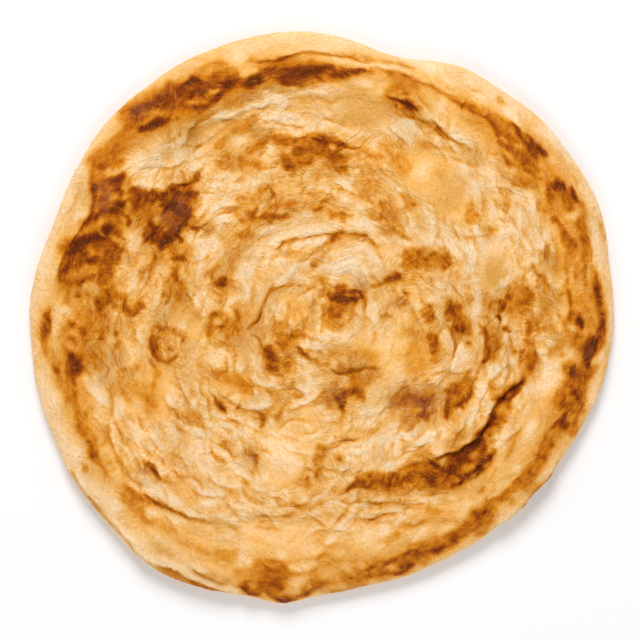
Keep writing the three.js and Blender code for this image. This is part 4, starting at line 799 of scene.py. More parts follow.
# Flakes and lips of sheets that stayed pale, keyed by how much: strokes of (x, y, half width).
PALED = {
    0.4: strokes("""
        -80.4 27.4 .8, -78 28.5 1, -75 30 1.1, -72.4 32 .7; -74 22.4 .9, -76.6 22.2 .7;
        -57.4 67 1.1, -54 68 .9; -44 71.6 .7, -40 72.2 .7; -19.4 79.4 .7; -37 83 .7, -38 81 .5;
        -60 45.6 2, -57 45.6 1.4; -88 -27 1.4; -75 -56 1.2; -94 -24 1; 0 73 3, 8 77 2; -54 -72 3,
        -46 -78 3, -36 -84 3, -24 -84 2; 10 -76 3, 20 -76 3; 4 -86 2
    """),
    0.5: strokes("""
        27.4 -8.6 1.6; 40 11 1; 24 -16 2, 23 -14 1.6; 33 9 2; 42 -8 1.4; 96.4 4 .8, 97 -2 .8,
        96.6 -7 .8; 49 -49.2 .3, 50.8 -48.4 .3; 48 -53.2 .3, 50 -52.2 .3; 59.6 -30.4 .9;
        51.2 -45.6 .5, 49.6 -46.6 .5; 47.4 -50 .5; 61 -31.6 .6; 2 68 3, 10 67 4, 20 67 3;
        -43 -10 1.5, -43 -20 1.5, -43 -28 1.5; -20 9 1.6, -19 4 1.4; -55 16 1.6; -52 1 2, -46 0 1.6;
        10 -33 2, 20 -34 2; 16 -46 2.4, 10 -50 2; -44 -48 2.4, -40 -40 2; -24 -48 2, -28 -44 1.4;
        -56 -35 2, -52 -40 1.6; -68 -52 2, -70 -60 2; -10 -50 2; 44 6 1.6; 44 46 2, 50 51 1.4;
        30 60 1.6; 90 14 1.2, 90 20 1
    """),
    0.55: strokes("""
        -11 -42 1.2, -10 -46 1.2, -9 -49 1; -12 -33.4 1; 4 -63 1.4; 10 -46.4 1; -15 -40 2, -14 -46 2
    """),
    0.6: strokes("""
        -87.5 -1 1.1, -88.6 -5 .8; -80.2 15.4 .7; -78.3 17 .6; -82.6 14.8 .6; -83.8 -16.4 .4;
        -70 -7.2 .3, -67.5 -7.2 .3; -63 12 1.6, -65 16 1.6; -62 -12 1.4; -46.8 43.3 .6; -21 35 .4;
        -18.8 35.4 .6, -18.2 37.4 .7; -51 48 .4, -48.6 48.2 .4, -46.6 50 .3, -44 51 .4, -41 52.2 .4,
        -38.4 53.8 .4; -24 43.4 1.6, -21 45 1.4; -55 33.2 1; -39 39 1.6; 8.6 7.2 .3, 10 7.2 .3;
        3 -16.5 .5; 7.6 -14 .5; -4 1 .7, -2.6 4 .6; 13 15 2.4, 9 17 2.4, 17 15.4 1.6; 18 3.4 1.2,
        15 2 1.2; 23.6 -15 1.4; -3 -23 1.6; -42 -40 1.4, -41 -44 1.4, -40 -48 1.2, -38 -51 1;
        -25 -46.8 .9; -50.6 -51.4 .9; -36.6 -24.6 .5, -34.4 -26.4 .7
    """),
    0.65: strokes("""
        -69.5 47.4 .5, -65.4 50.4 .6, -64 52 .6; -69 26.8 .5, -66.2 24.6 .6, -65 22.8 .6; -38 75 .4,
        -34 76 .5; -63 27.6 1.5, -62.4 24 1.8; 3.8 57 .6; -1.2 52.4 .6, .6 53.6 .6; -20 74.6 .6,
        -15 75.8 .8; -55.6 55 .6, -52 57.4 .6, -50 57.6 .4; -71.5 48.2 .8; -6 87 .5; 5.6 85.6 1,
        10 85 1
    """),
    0.7: strokes("""
        -49.6 12 .4; -50.6 11 .3; -51.6 16.4 .6; -53 -9.5 .8; -52 -12 .6; -34.6 -1.5 .7; -34 3.4 .7,
        -31.5 3.1 .5; -46.6 -3 1, -44.6 -4 .6; 8 22.4 2, 12 22.4 2, 16 20.6 1.6, 5 18 2.4,
        10 17 2.4; 11.4 49 .8; 17.4 58.4 .8; -9 41.4 .5; 5.2 51 .5; 2.6 51.6 .4; -14 30 1.4,
        -8 30.6 1.2, -2 30 1.2, 6 30.4 .8; 13 30.4 1.6, 16.6 30.4 1.2; 12.6 36.6 1.2, 14.6 37.6 .8;
        21 25.4 1.2; 20.4 77.8 .6, 19.8 75.8 .6; 7.4 72 .7; 36.6 83 1; 41 78.8 .5, 43.6 78 .5;
        22 63 1.4, 24 61 1.4; 28.2 24.2 .8; 52 22 2.4, 56 24 2.4, 60 27 2; 50 42 1.6, 53 44 2;
        56 33 1.2, 58.6 34 1; 38 25 2, 34 25.6 1.6; 35 51 2, 33 48 1.6; 56 47 2, 54 50 1;
        62.6 53.6 .5; 60.4 58.2 .4; 62.6 58.8 .4; 64.8 57.6 .5; 62.8 49.2 .7; 64.4 48.4 .5;
        66.6 57.3 .7; 72 50.6 .5; 73.6 51.4 .4; 77 52 .8; 70.6 49.4 .4; 73.6 48 .4; 79 60 1.6,
        82 56 1.4, 84 52 1; 77 62 1.2; 50 78.8 .8; 54 72 1, 51 73.6 .8; 72 62.4 1, 75 61 1;
        -63 -37.6 .8, -61.6 -40 1.2; -68.4 -44.2 .5; -81.6 -52 .5, -80.4 -53.8 .7, -79.6 -56.6 .5;
        -69 -63 1.4; -58 -55.6 1.2; 41 -37.6 1, 40.4 -40 .8, 39.4 -42.4 .8; 41 -46.4 .6; 34 -40 1,
        37 -41 1; 22 -42 1.4, 25 -44.6 1.2; 50.6 -62 .7; 54 -59.6 .5, 51 -61.4 .5; 50.6 -32 1.4,
        50 -35 1.2; 68 -24 1, 71 -23 1.2, 75 -24 1.4; 73.6 -21 1; 66 -52 .4, 62.6 -54.8 .5,
        59 -57.6 .5, 56 -60 .4; 82.6 -36.8 .4; 78 -38.6 .4; 76.8 -39.4 .3; 91 -24 1, 90 -28 1;
        -26 -65.4 .9; -22.6 -66.8 .6, -18 -66.8 .3, -15 -66.6 .3; -27.6 -75.8 .4, -25.6 -76.6 .4,
        -23.6 -77 .4; -49 -78.6 .8; -46 -79.4 .6; 23.4 -83.4 .8; 49.4 -61.6 .7, 47.6 -64 .5,
        46 -67 .4; 45 -66.4 .5; 60.6 -63.6 1.4; 65 -58.6 1.2; 34 -70 .8, 31 -73 .8; 20 -69.6 .8
    """),
    0.8: strokes("""
        -40 35 1.3, -36 35.6 2, -32 36.5 2, -31.5 39.5 1.3; -36 24 2.4; -36 44 1.6, -33 46 1.6,
        -30 45 1.6; -22 22.6 1.4, -18 24.4 1.6, -15 26.6 1.2; -35 -14 1.4, -33.6 -13 1; -41.6 18 .6,
        -40.6 19 .5; -22 -14 1.2, -23.4 -12.4 1; -41 3 .8, -40.4 8 .8; -27 14 1.4, -22 17 1.6,
        -18 19 1.6; -30 6 1, -27 7 1.2; -13 18 1.6, -9 17 1.4; -7 -15 1.2, -4 -17 1.4; -12.6 2.4 1,
        -14 4 .8; -5 -4 .5, -5 -7.4 .8; 1 -6 .8, 5 -6 .6; -15.4 12.4 .8, -5.4 11.4 1; 89.8 32 .5,
        90.6 29 1, 91.2 25 1, 92 21 1, 93 17 .8; 73 29 1.6, 76 28 1.4; 70 26 1.6, 73 25 1.4;
        47 -11 .8, 48 -13.4 .8, 46 -15 1.2, 43 -14 .6; 31.4 1.4 .6; 41.6 8.4 .6, 41 9.6 .4;
        43.9 -2 .4; 51 14 .8, 51.4 8 .6, 52.4 2 .5; 49.4 16 1.2; 62 17.6 1, 65.6 14 .9; 72.4 8 .4;
        72.4 3.4 .5; 71.2 1.6 .4; 78 6 .4; 77.8 3 .4; 80.4 2.4 .8; 73.6 -2.6 .4; 62.6 -1.4 .5;
        64.6 -4.7 .4, 62 -6 .6; 66 -7.6 1; 82 -2.6 .5, 83.6 -3.8 .5; 78.8 -3 .5, 78 -1 .5; 84 .2 .4;
        82.4 11.2 .4; 95 -11 .6, 93 -13 .7, 91 -15 .6; -37 -32.6 1.2, -35 -34 1.4, -32 -35 1.4;
        -28.6 -50.6 1, -26.6 -52 1; -20 -53.6 1.1; -22 -57.6 .5, -20.6 -56.8 .5; -45.6 -36 .5;
        -52.4 -43.6 .4; -17.4 -34.8 .8; 2 -32.4 .6; 8 -56 .4, 10 -54 .4, 13 -52.2 .4; -17 -22.4 .5,
        -13.6 -23.6 .5, -10 -24.4 .4; -5 -77 1, -2 -78 1, 0 -76.6 .7; 7.4 -82.6 .8, 8.4 -83.6 .6;
        -9 -88.6 1, -7 -88.2 .8; 14 -62 .7, 14.8 -64.6 .5; 15.6 -71.6 .8, 13 -73.6 .9; 5 -61.6 .8,
        2.6 -64 .8; 18 -64.6 .5; 19 -67 .5; -6 -60.6 .8; 13.6 -82.4 .9
    """),
    0.9: strokes("""
        -76 -21 1, -74 -24 1.2, -73 -28 1; -69 -30.6 .8, -67.4 -31.4 1, -67.2 -33 .8; -65.2 -54 .4,
        -63.4 -55.6 .4, -61.4 -57.4 .3; -81.6 -44.6 1.1; -59 -79 .7, -56 -81.2 .9, -52 -81.4 1,
        -49 -82.4 .8, -46 -84.2 .8, -43 -86 .8, -39.6 -87.6 .9, -35.6 -88.8 .9, -32 -90 1,
        -28.6 -91.4 .9; -45 -82.4 .5, -41.6 -83.2 .5, -38 -84 .4; -26.4 -81.4 1.6, -24.8 -82 1.3;
        -57.6 -64.4 .8, -53 -65 .5, -49 -66.6 .7, -45 -68 .6, -40 -68.4 .4, -36.4 -70.4 .5;
        -35 -65.6 .5, -31 -67 .7, -28 -67.6 .6
    """),
    1: strokes("""
        -26 81.2 .7, -24 81.8 .8, -22 82 .5; -62 45.2 .9, -58.6 45.6 1, -55 45.2 .8; -34 66.8 .8,
        -29 68 1.1, -24 69.7 1.1, -21.6 69.6 .8; -17.4 72.4 1.1, -12 72.6 1.2; -10 75.8 .5,
        -5 75.3 .5, -1.4 75.4 .6, 1 76.4 .9; -16 67 .6, -10 67 .7, -6.6 66.4 .5; -8 62.2 .7,
        -4 62.6 .7, 1.6 63 .4; -27.4 58.6 1.5; -48 55 1, -43 54.4 .9; -64 52 1, -61 52.6 1.6,
        -56 51 1.6; -17 56.6 1.1; -82 33 .6, -79 34.4 1, -77.6 36 .6; -62 48.6 1.4, -56 48.6 1.2;
        -27 85.4 1.4; -88 2.8 .6, -85.4 2.8 .9, -84.2 1.2 .7; -78 -20 .8, -75 -20 1.2, -73 -20 .6;
        -44 27 1.2, -42.5 26.2 1.2, -39.4 26 1; -39.5 32.4 .5, -37.5 33.6 .4, -35.4 33 .4,
        -33.4 32.4 .4; -60 44.8 .8, -57 44.4 .8, -54 44 .6; -6 24.2 1, -3 24.8 1.1, 0 26.2 .8;
        7.6 39 1, 8.6 41.6 1, 9 44.2 1, 7 45.8 1.2; -6.4 35.2 .6, -4 34 .6; -4 42.6 .5, -1.4 44 .6,
        .6 45.4 .6; 10.6 78.4 .8, 13 78.4 .9, 16 77.8 .7; 16.8 74.4 .6, 18.8 74.4 .7; 6 85.5 .7,
        10 85.4 .8, 15 84.6 .5, 20 83.8 .4, 26 82.4 .4, 30 81.2 .3; 11 61.4 .7, 14 62 .8,
        17 61.2 .5; 16.6 58.4 .5, 18.6 59 .6; 24 66.4 .8, 27 65 1.2, 30 63.6 1, 32.8 62.4 .7;
        35 66.6 .5, 37 67.4 .5, 39.6 68.4 .6, 40.6 71 .6; 43 61.2 .4, 45.6 60 .4, 48 58.6 .5,
        50 57.2 .4; 42.8 58.4 .5, 44.2 56.9 .6; 43 25 .9, 45 23.2 1.1, 46.6 20.8 .9; 61 68.6 .7,
        63.4 67.4 .6, 65 65.4 .4, 66 63.8 .3; 65 41.4 .8, 67.4 41 1, 69.4 40.2 .8; 66.6 35.4 1,
        67.4 33 1, 67 30.4 1; 70.4 34.6 1; 81.4 34.2 .5, 83.6 33.6 1, 86 34.6 .6; 68.4 18 .5,
        70.8 19 .5; 36 6.8 .6, 38 6.6 .9, 39.4 4.8 .6; 53.4 3 .5, 54.8 1.4 .7; 64 13.4 .5,
        61.4 12.8 .7, 59.6 9.6 .7, 57.4 7.8 .6; 57 -17.6 1.4, 60 -17.8 1.2; 54.6 -20.6 1,
        54 -23.6 .8; 80 14 .5, 79.2 12 .7, 77.6 10.4 .5; 61.4 -12.6 .4, 63 -14.4 .4; 73.4 -7 .6,
        75.4 -8 .8, 77 -9 .5; 79.6 -14.4 .8, 76.6 -16 1.2, 73.6 -18.6 1.2, 76 -20.6 1.6,
        78.4 -19.4 1.2, 74 -23 1.4, 77.6 -23 1; 81.4 -10.8 .4; 83 -12.4 .6; -28.6 -38.4 .5,
        -26.4 -39.2 .7, -24.4 -38.4 .8, -23.4 -36.6 .8; -26.4 -29 .4, -24.6 -30.4 .5, -22 -30.6 .5,
        -19.6 -29.4 .6, -17.6 -27.4 .6; -30 -30.6 .9; -50 -27.4 1.1; -58 -56.4 .8, -55 -57.6 1.1,
        -51 -60 1, -47.6 -61.8 1; -38.6 -59.4 1, -36 -59.6 1.2; -44 -64 .6, -40 -62.4 .5,
        -36 -63 .6; -35.6 -44.2 .5, -33.4 -45.6 .7, -32 -46.8 .4; 12 -44.6 1, 15 -42.6 1.1,
        19 -41 1.1, 23 -40.4 1; 14 -50.6 .6, 18 -50 .8, 23 -49.4 .8; -9 -28.6 .4, -6 -28.6 .5,
        -3.6 -27.4 .5; -19.4 -28.6 .6; 25 -39.8 .8, 28 -39.6 .9, 31 -39 .8; 21 -50.2 .9, 25 -49 .8,
        28 -48 .6; 57.4 -29 .6, 56 -31 .6, 54.4 -33.6 .6, 53 -36 .4; 61.6 -36.6 .7, 60.4 -39 .9,
        59 -41.6 .9, 58 -42.6 .6; 42.4 -58.5 .5, 43.8 -59.4 .5; 34 -61.6 .5, 37.4 -61.2 .7;
        53.6 -22 .8, 53 -25 .8; 69.8 -34.6 .8, 69 -38 1.2; 65 -50.2 .8; 64.6 -27.6 .7,
        65.6 -29.6 .8; 79 -47.6 .5, 76.4 -50.4 .6, 73 -53.4 .6; -13.8 -78 .5, -12.4 -79 .7;
        -9 -83 .9, -7 -83.6 1.1, -4.6 -82.4 .9, -2.4 -81.6 .5; 6.4 -78.6 .9; 2.6 -74.6 .7,
        4.6 -72.6 .9, 7 -69.4 .9, 9.6 -67.8 1.1, 11.6 -66 .8; 20.6 -71.6 .6, 22.4 -69.4 .5;
        26 -64.6 .8, 26.6 -66.4 1; 39 -71.2 .5, 41.4 -70.6 .7, 44 -69.6 .5
    """),
}

# Thin oily dough with an olive cast, partly shade painted into the valley inside the rim and along some
# folds, keyed by how much: strokes of (x, y, half width).
OILED_AND_SHADED = {
    0.6: strokes("""
        -41 62 3, -34 65 3, -29 64 3.4, -33 60 3; -52 58 2.2, -47 57.6 2; -15 66 .5, -10 65.1 .5,
        -6 63.8 .5; -8 71 3, 0 71 3, 8 72 2; -60 56 1.6, -57 53.6 1.4; -84.6 33.6 1, -82 37 .7;
        -15 84 1.4, -8 84.6 1
    """),
    0.8: strokes("""
        -43.4 30 .8, -38 31.4 1, -36 30.2 .8; -38 28 .8; -56.6 28 2; -48 51 .5, -44 52.4 .5,
        -40 54.4 .7; -50 46.6 .8, -46 47.4 .8; -54 1 2.4, -49 2 3, -45 1 2.6; -46 8 2.4, -50 6 2;
        -34 -8.6 1.4, -29 -7.6 1.6; -58.6 16 1, -55.4 20 1; -17 6.4 .8, -20 .6 .7, -23 -3 .9;
        -53 -3.8 1.4; -12 37.4 .9, -8.4 39 .8; 9 28.4 .6, 15 27.4 .9; 3 25.8 1, -2 22.6 .6;
        -16 9 .8, -10 9.5 .6; 6 -16.4 1, 18 -16.6 .8; -2 -14.2 .9; 10 72.6 2.4, 15 72 2.2,
        19 70.6 2.2, 23 71 1.4; 23 69 1.4, 27 68 1.2, 30 66.8 .8, 33 65.4 .8; 7 66 1.6, 12 65.6 1.8,
        16 65.4 1.6; 5 79 .8, 9 79 .7; 42 40 3, 44 44 3; 50 55.4 1.6, 54 52 1; 61.2 49.6 1;
        65 44.4 1, 70 44.6 1.2; 49.6 65.2 1.4; 73 58 .8; 79 57 .8, 83 49 .7; 26 14.6 1.2; 45 -7 1.4;
        56 10 2.4, 57 14 2.4, 60 17 2.4; 29.6 2.6 1; 62 -17 1.4; -72.6 -39 1.4; -76 -30.6 .8;
        -78.6 -50.4 1.2; -76 -62.4 1, -72.6 -65.4 1; -82.8 -52 .7; -64 -52 1.2; 2 -28 2;
        -15 -32.8 .9; -19.6 -33.6 1.2; 11.6 -50.4 .6; 38 -58 1.6, 44 -57 1.4, 49 -56 1.6,
        52 -54 1.2; 46.6 -37.6 .6, 44.6 -41.4 .5; 30 -36.8 1; 33 -45.2 1; 53 -57.4 .8; 50 -46.4 1.2;
        72 -55 1.2, 68 -56.8 1.4; 64.6 -38 1, 62 -45 1; 77 -51 .8, 73.4 -55.4 1.2, 69 -60 .8;
        16.6 -67 .6, 21 -65.2 .6; 8.6 -76.4 1; 4 -91.4 .8, 12 -90.2 .8; -11 -93.6 1.4; 27 -68.8 .7,
        34 -67 .7, 42 -68.2 .7; 28.4 -63.6 .8, 27 -60.9 .7; 57 -68 .9, 52 -72.6 .9
    """),
    0.9: strokes("""
        -42 -84.6 .8, -37 -86 1.4, -31.6 -87 1.4; -52 -85 1.4, -46 -87.6 1.4, -40 -90.4 1.2;
        -54 -62 .9, -48 -65 .7; -55 -76 1.4, -51 -78 1.2; -18 -70.4 .8
    """),
    1: strokes("""
        -60 61 1.5, -54 61.4 2.6, -48 63.4 2, -42 66.2 1.4, -36 68.4 1.2; -33 71 1.6, -28 72.6 1.3,
        -22 74.6 1.2, -15 77.2 1; -44 60 3, -40 60 2.4; -66 57 1.6, -62 58 2.2; -36.6 55.4 .8,
        -32 58 1.4, -29 60.4 1.2; -24 62.6 1.4, -19 61.2 1.3, -15.4 59.6 1; -26.6 70.6 .5,
        -22 72 .5; -80 45 1.6, -79 41 1.5; -86 12 1.8, -82 11.4 1.8; -77 -10 1.8, -76.6 -14.5 1.6;
        -71 -14 2.4, -67 -13 1.6; -60 12 .6, -57.5 18 1; -72 -21.6 1.2, -69 -16.6 1; 73.6 20.6 1.6,
        76 19.6 1.8, 78 17 1.4; 86.4 38 .8, 88 33 .9, 89 26 .7; 91 33.4 .6, 94 29.6 .6; 78 -6 1.2,
        80 -8 1.6, 77 -11 1.8; 76.6 7 2.2, 75 2 1.6; 73 10 1.2; 83 -8 1.6, 86 -9 1.2; 70 -16 1.6;
        58 12 1.6, 57 17 2
    """),
}

# Every browned stroke, and every painted shadow line among them, is this many times as strong as its own
# tone.
BROWNED = 1.03

# Patches where the brown turns a dull purple under loose flour: strokes of (x, y, half width).
MAUVE = strokes("""
    -52.8 33 1.3, -51 32.2 2, -49.6 30.8 1.4; -47 38 2; -73 38 2, -72.6 43 2; 31 -26 2, 34 -25 2,
    37 -29.6 1.6, 32.4 -31.4 1.4, 35 -28 1.6; -25 -46.4 1.6; -58.6 -53 1.8, -60 -50 1; 4 -25.6 2;
    26.4 5 1.8; 13 11.4 2, 15.4 11.4 1; 88.6 -11.6 1; -61 69 2;
    27 -27 3, 32 -28.5 4, 36 -27 3
""")


STROKE_FADE = (0.4, 2.7)  # half widths from a stroke's line where its fade begins and ends
STREWN_OUT_TO = 86.0  # radius that the loose edges are strewn out to


def warped(places):
    """Places pushed about, so that what is laid over them gets ragged edges."""
    far = np.stack([clouds(places, 7.0, 2, 11.3), clouds(places, 7.0, 2, 37.9)], 1) * 0.9
    near = np.stack([clouds(places, 1.9, 2, 5.1), clouds(places, 1.9, 2, 71.7)], 1) * 0.8
    return places[:, :2] + far + near


def laid(xy, table):
    """How strongly each place is touched: every stroke fades outwards, and the strongest one counts."""
    touch = np.zeros(len(xy))
    for strength, group in table.items():
        for stroke in group:
            fade = smooth(*STROKE_FADE, stroke_depth(xy, stroke))
            touch = np.maximum(touch, strength * (1.0 - fade))
    return touch


def loose_edges(xy, crisp):
    """Short sheet edges strewn over the flaky places: most run with the turns, and they curl either way."""
    draw = np.random.default_rng(LOOSE_SEED)
    edges = []
    while len(edges) < LOOSE_EDGES:
        heading, spin, curl = draw.uniform(0, 2 * pi), draw.normal(0, 0.45), draw.normal(0, 0.05)
        distance = STREWN_OUT_TO * np.sqrt(draw.uniform())
        length, rise, width = draw.uniform(4, 15), draw.uniform(0.10, 0.42), draw.uniform(1.4, 3.6)
        dark, flip, luck = draw.uniform(0.1, 0.5), draw.uniform() < 0.4, draw.uniform()
        middle = distance * np.array([np.cos(heading), np.sin(heading)])
        nearest = np.argmin(np.sum(np.square(xy - middle), 1))
        if crisp[nearest] < luck:
            continue
        way = heading + pi / 2 + spin + (pi if flip else 0.0)
        along = np.array([np.cos(way), np.sin(way)])
        across = np.array([-along[1], along[0]])
        steps = np.linspace(-length / 2, length / 2, 4)
        line = [tuple(middle + along * t + across * curl * t * t) for t in steps]
        edges.append((rise, width, dark, line))
    return edges


# ---- Shaping the dough ---------------------------------------------------------------------------
def measured(places, round_):
    """What the later steps need to know about each place, and how the dough runs there."""
    radius = np.hypot(*places[:, :2].T)
    inset = round_["edge"] - radius
    roll = round_["roll"]
    top = 1.0 - smooth(*TOP_ENDS, roll)
    inner = smooth(13.0, 22.0, inset) * top
    sway = np.stack([clouds(places, 26.0, 2, 3.3), clouds(places, 26.0, 2, 9.7)], 1) * 9.0
    swayed = places[:, :2] + sway
    around = np.hypot(*swayed.T)
    puff = np.zeros(len(places))
    for stroke in PUFFS:
        depth = stroke_depth(places[:, :2] + sway * 0.2, stroke)
        puff = np.maximum(puff, 1.0 - smooth(0.6, 1.3, depth))
    return SimpleNamespace(
        places=places,
        radius=radius,
        heading=round_["heading"],
        inset=inset,
        roll=roll,
        top=top,
        inner=inner,
        crisp=inner * (1.0 - 0.85 * puff),
        swayed=swayed,
        around=around,
        flow=np.column_stack([swayed * RUN, around]),
        weave=around + 4.0 * clouds(places, 12.0, 2, 45.0),
    )


def turns(spot):
    """Turns of the coil: a crease where one turn meets the next, coming and going."""
    swells = SWELL * spot.inner * clouds(spot.flow, 15.0, 2, 7.0)
    wound = ((pi / 2 - spot.heading) % (2 * pi)) / (2 * pi)
    turn = (spot.around - CREST) / PITCH - wound
    crease = np.abs((turn + 0.5) % 1.0 - 0.5) * PITCH
    come_and_go = smooth(-0.25, 0.45, clouds(spot.places, 26.0, 2, 21.1))
    shape = -TURN_WAVE * np.cos(2 * pi * turn) - TURN_CREASE * bump(crease, 1.1)
    return swells + spot.crisp * come_and_go * smooth(8, 20, spot.radius) * shape


def stacked_sheets(spot):
    """Terraces of a slow field, each with a sharp, lipped edge."""
    stack = clouds(spot.flow, 14.0, 2, 50.5) * 2.2 + clouds(spot.places, 18.0, 2, 61.0) * 1.3
    step = stack % 1.0
    edge_rise = smooth(0.78, 0.97, step)
    lip = bump(step - 0.96, 0.06)
    patchy = smooth(-0.35, 0.5, clouds(spot.places, 15.0, 2, 81.0))
    return spot.crisp * patchy * (SHEET_STEP * (edge_rise - step) + SHEET_LIP * lip)


def wrinkles(spot):
    """Creases that run with the turns, come and go, and wander."""
    rumpled = smooth(-0.4, 0.5, clouds(spot.places, 13.0, 2, 19.0))
    wander = np.column_stack([clouds(spot.places, 5.0, 3, salt) for salt in (23.0, 25.0, 27.0)])
    bent = np.column_stack([spot.swayed * RUMPLED_RUN, spot.weave]) + 1.6 * wander
    amount = WRINKLE_EVERYWHERE + WRINKLE_WHERE_RUMPLED * rumpled
    broad = spot.crisp * amount * crumple(bent, 5.4, 13.0)
    return broad + spot.crisp * FINE_WRINKLE * clouds(spot.places, 2.6, 3, 29.0)


def lay_folds(spot, height):
    """Lifts each sheet edge and fold over the lower sheet. Returns the shade painted under it, its pale lip
    with a painted highlight, and its push.
    """
    xy = spot.places[:, :2]
    shade = np.zeros(len(xy))
    pale_lip_glint = np.zeros(len(xy))
    push = np.zeros((len(xy), 2))
    wander = clouds(spot.places, 4.0, 2, 91.0)
    for rise, width, dark, line in FOLDS + loose_edges(xy, spot.crisp):
        rows, side, ends, left = line_side(xy, line, width * 2.4)
        side = side + 0.8 * wander[rows]
        taper = smooth(0.0, 3.5, ends)
        lip = taper * bump(side - 0.5, 0.7)
        lifted = smooth(-0.45, 0.45, side) * np.exp(-np.clip(side, 0, None) / width)
        height[rows] += rise * taper * lifted
        height[rows] -= 0.25 * rise * taper * bump(side + 0.9, 0.8)
        # Painted shade along the foot of the fold, under its edge.
        shade[rows] = np.maximum(shade[rows], dark * taper * bump(side + 0.55, 0.75))
        # A pale lip on the fold's upper edge, partly a painted highlight.
        pale_lip_glint[rows] = np.maximum(pale_lip_glint[rows], lip)
        push[rows] -= left * (0.45 * lip)[:, None]
    return shade, pale_lip_glint, push


def browned_places(ball, spot):
    """How the strokes lie on the bread, and the crackle of its browned skin."""
    xy = warped(spot.places)
    top = spot.top
    pale = neighbours_mean(ball, laid(xy, PALED), 1) * top
    # Browning, together with the shadow lines painted in the grooves under some folds.
    heat_and_shadow_lines = neighbours_mean(ball, laid(xy, TOASTED_AND_SHADOW_LINES), 1) * BROWNED * top * (1.0 - 0.85 * pale)
    return SimpleNamespace(
        pale=pale,
        heat_and_shadow_lines=heat_and_shadow_lines,
        glow=neighbours_mean(ball, heat_and_shadow_lines, 36),
        # Olive darkening: oily dough, and partly painted shade.
        oily_and_shaded=neighbours_mean(ball, laid(xy, OILED_AND_SHADED), 8) * top,
        mauve=neighbours_mean(ball, laid(xy, {1.0: MAUVE}), 2) * top,
        crackle=clouds(spot.places, 2.1, 3, 29.0),
        cracks=1.0 - ridges(spot.places, 3.0, 2, 31.0),
        burnt=smooth(0.45, 0.8, heat_and_shadow_lines) * top,
    )


def blisters(crust):
    """A low blister under each browned place, with a crackled skin."""
    return crust.burnt * (BLISTER + CRACKLE * crust.crackle + CRACK * crust.cracks)


def side_wall(spot):
    """The rolled side wall: thin layers that run round the edge."""
    around_edge = np.column_stack([np.cos(spot.heading), np.sin(spot.heading)]) * 9.0
    layers = clouds(np.column_stack([around_edge, spot.roll * 22.0]), 1.0, 3, 33.0)
    wall = smooth(16.0, 9.0, spot.inset) * smooth(0.98, 0.8, spot.roll)
    rise = WALL_LAYER + WALL_LAYER_LOW * smooth(0.3, 0.6, spot.roll)
    return wall * rise * layers + wall * WALL_GRAIN * clouds(spot.places, 2.4, 2, 35.0)


def dents(spot):
    """The underside only gets dents, so nothing goes below the surface that it lies on."""
    return smooth(*UNDER_BEGINS, spot.roll) * (DENT + DENT * clouds(spot.places, 9.0, 3, 43.0)).clip(0, None)


# ---- Tones ---------------------------------------------------------------------------------------
def dough_tone(spot, placed, crust, pit_shade, pale_lip_glint, shade):
    """Creamy on high dry sheets and golden in the oil-soaked hollows, with painted shade: darker in hollows
    and under fold edges, lighter on ridges and fold lips.
    """
    flaked = 0.4 + 0.6 * spot.crisp
    dough = 0.24 + 0.09 * clouds(placed, 20.0, 2, 101.0) + 0.09 * clouds(spot.flow, 7.0, 3, 103.0)
    # Painted shade: darker and more golden in the hollows, lighter on the ridges.
    dough += (0.13 * pit_shade.clip(0, 2) - 0.10 * (-pit_shade).clip(0, 2)) * (0.35 + 0.65 * spot.crisp)
    # Paler on the fold lips: partly a painted highlight.
    dough -= 0.12 * pale_lip_glint * flaked
    # Painted shade under the fold edges; paler towards the outline.
    dough += 0.35 * shade * spot.top - 0.10 * smooth(9.0, 1.0, spot.inset) * spot.top
    return dough + (0.30 * crust.glow + 0.08 * crust.oily_and_shaded - 0.18 * crust.pale)


def underside_tone(spot, placed):
    """Golden all over, with softer and harder griddle marks."""
    ragged = smooth(0.78, 1.0, spot.roll + 0.10 * clouds(placed, 6.0, 3, 117.0))
    marks = clouds(placed, 17.0, 4, 107.0) + 0.5 * clouds(spot.flow, 8.0, 3, 109.0)
    seared = 0.26 * smooth(-0.1, 0.8, marks) + 0.20 * smooth(0.35, 1.0, marks)
    golden = 0.24 + 0.10 * smooth(0.0, 24.0, spot.inset) + 0.08 * clouds(placed, 32.0, 2, 113.0)
    return ragged * (golden + seared * (0.8 + 0.5 * clouds(placed, 3.0, 3, 115.0)))


# Tone of the browning and of the painted shadow lines, with its mottle.
def browned_and_shadow_tone(crust, pit_shade):
    # The mottle paints the browned skin darker in its hollows: painted shade.
    mottle = 0.11 * crust.crackle + 0.07 * crust.cracks + 0.08 * pit_shade - 0.03
    return crust.heat_and_shadow_lines + mottle * smooth(0.2, 0.6, crust.heat_and_shadow_lines)


# ---- The bread -----------------------------------------------------------------------------------
def bread_from(ball, placed):
    """The pressed ball at its final places, as a smooth-shaded object."""
    for vert, place in zip(ball.verts, placed):
        vert.co = Vector(place) * MM
    mesh = bpy.data.meshes.new("bread")
    ball.to_mesh(mesh)
    ball.free()
    mesh.polygons.foreach_set("use_smooth", np.ones(len(mesh.polygons), bool))
    bread = bpy.data.objects.new("bread", mesh)
    bpy.context.scene.collection.objects.link(bread)
    return bread


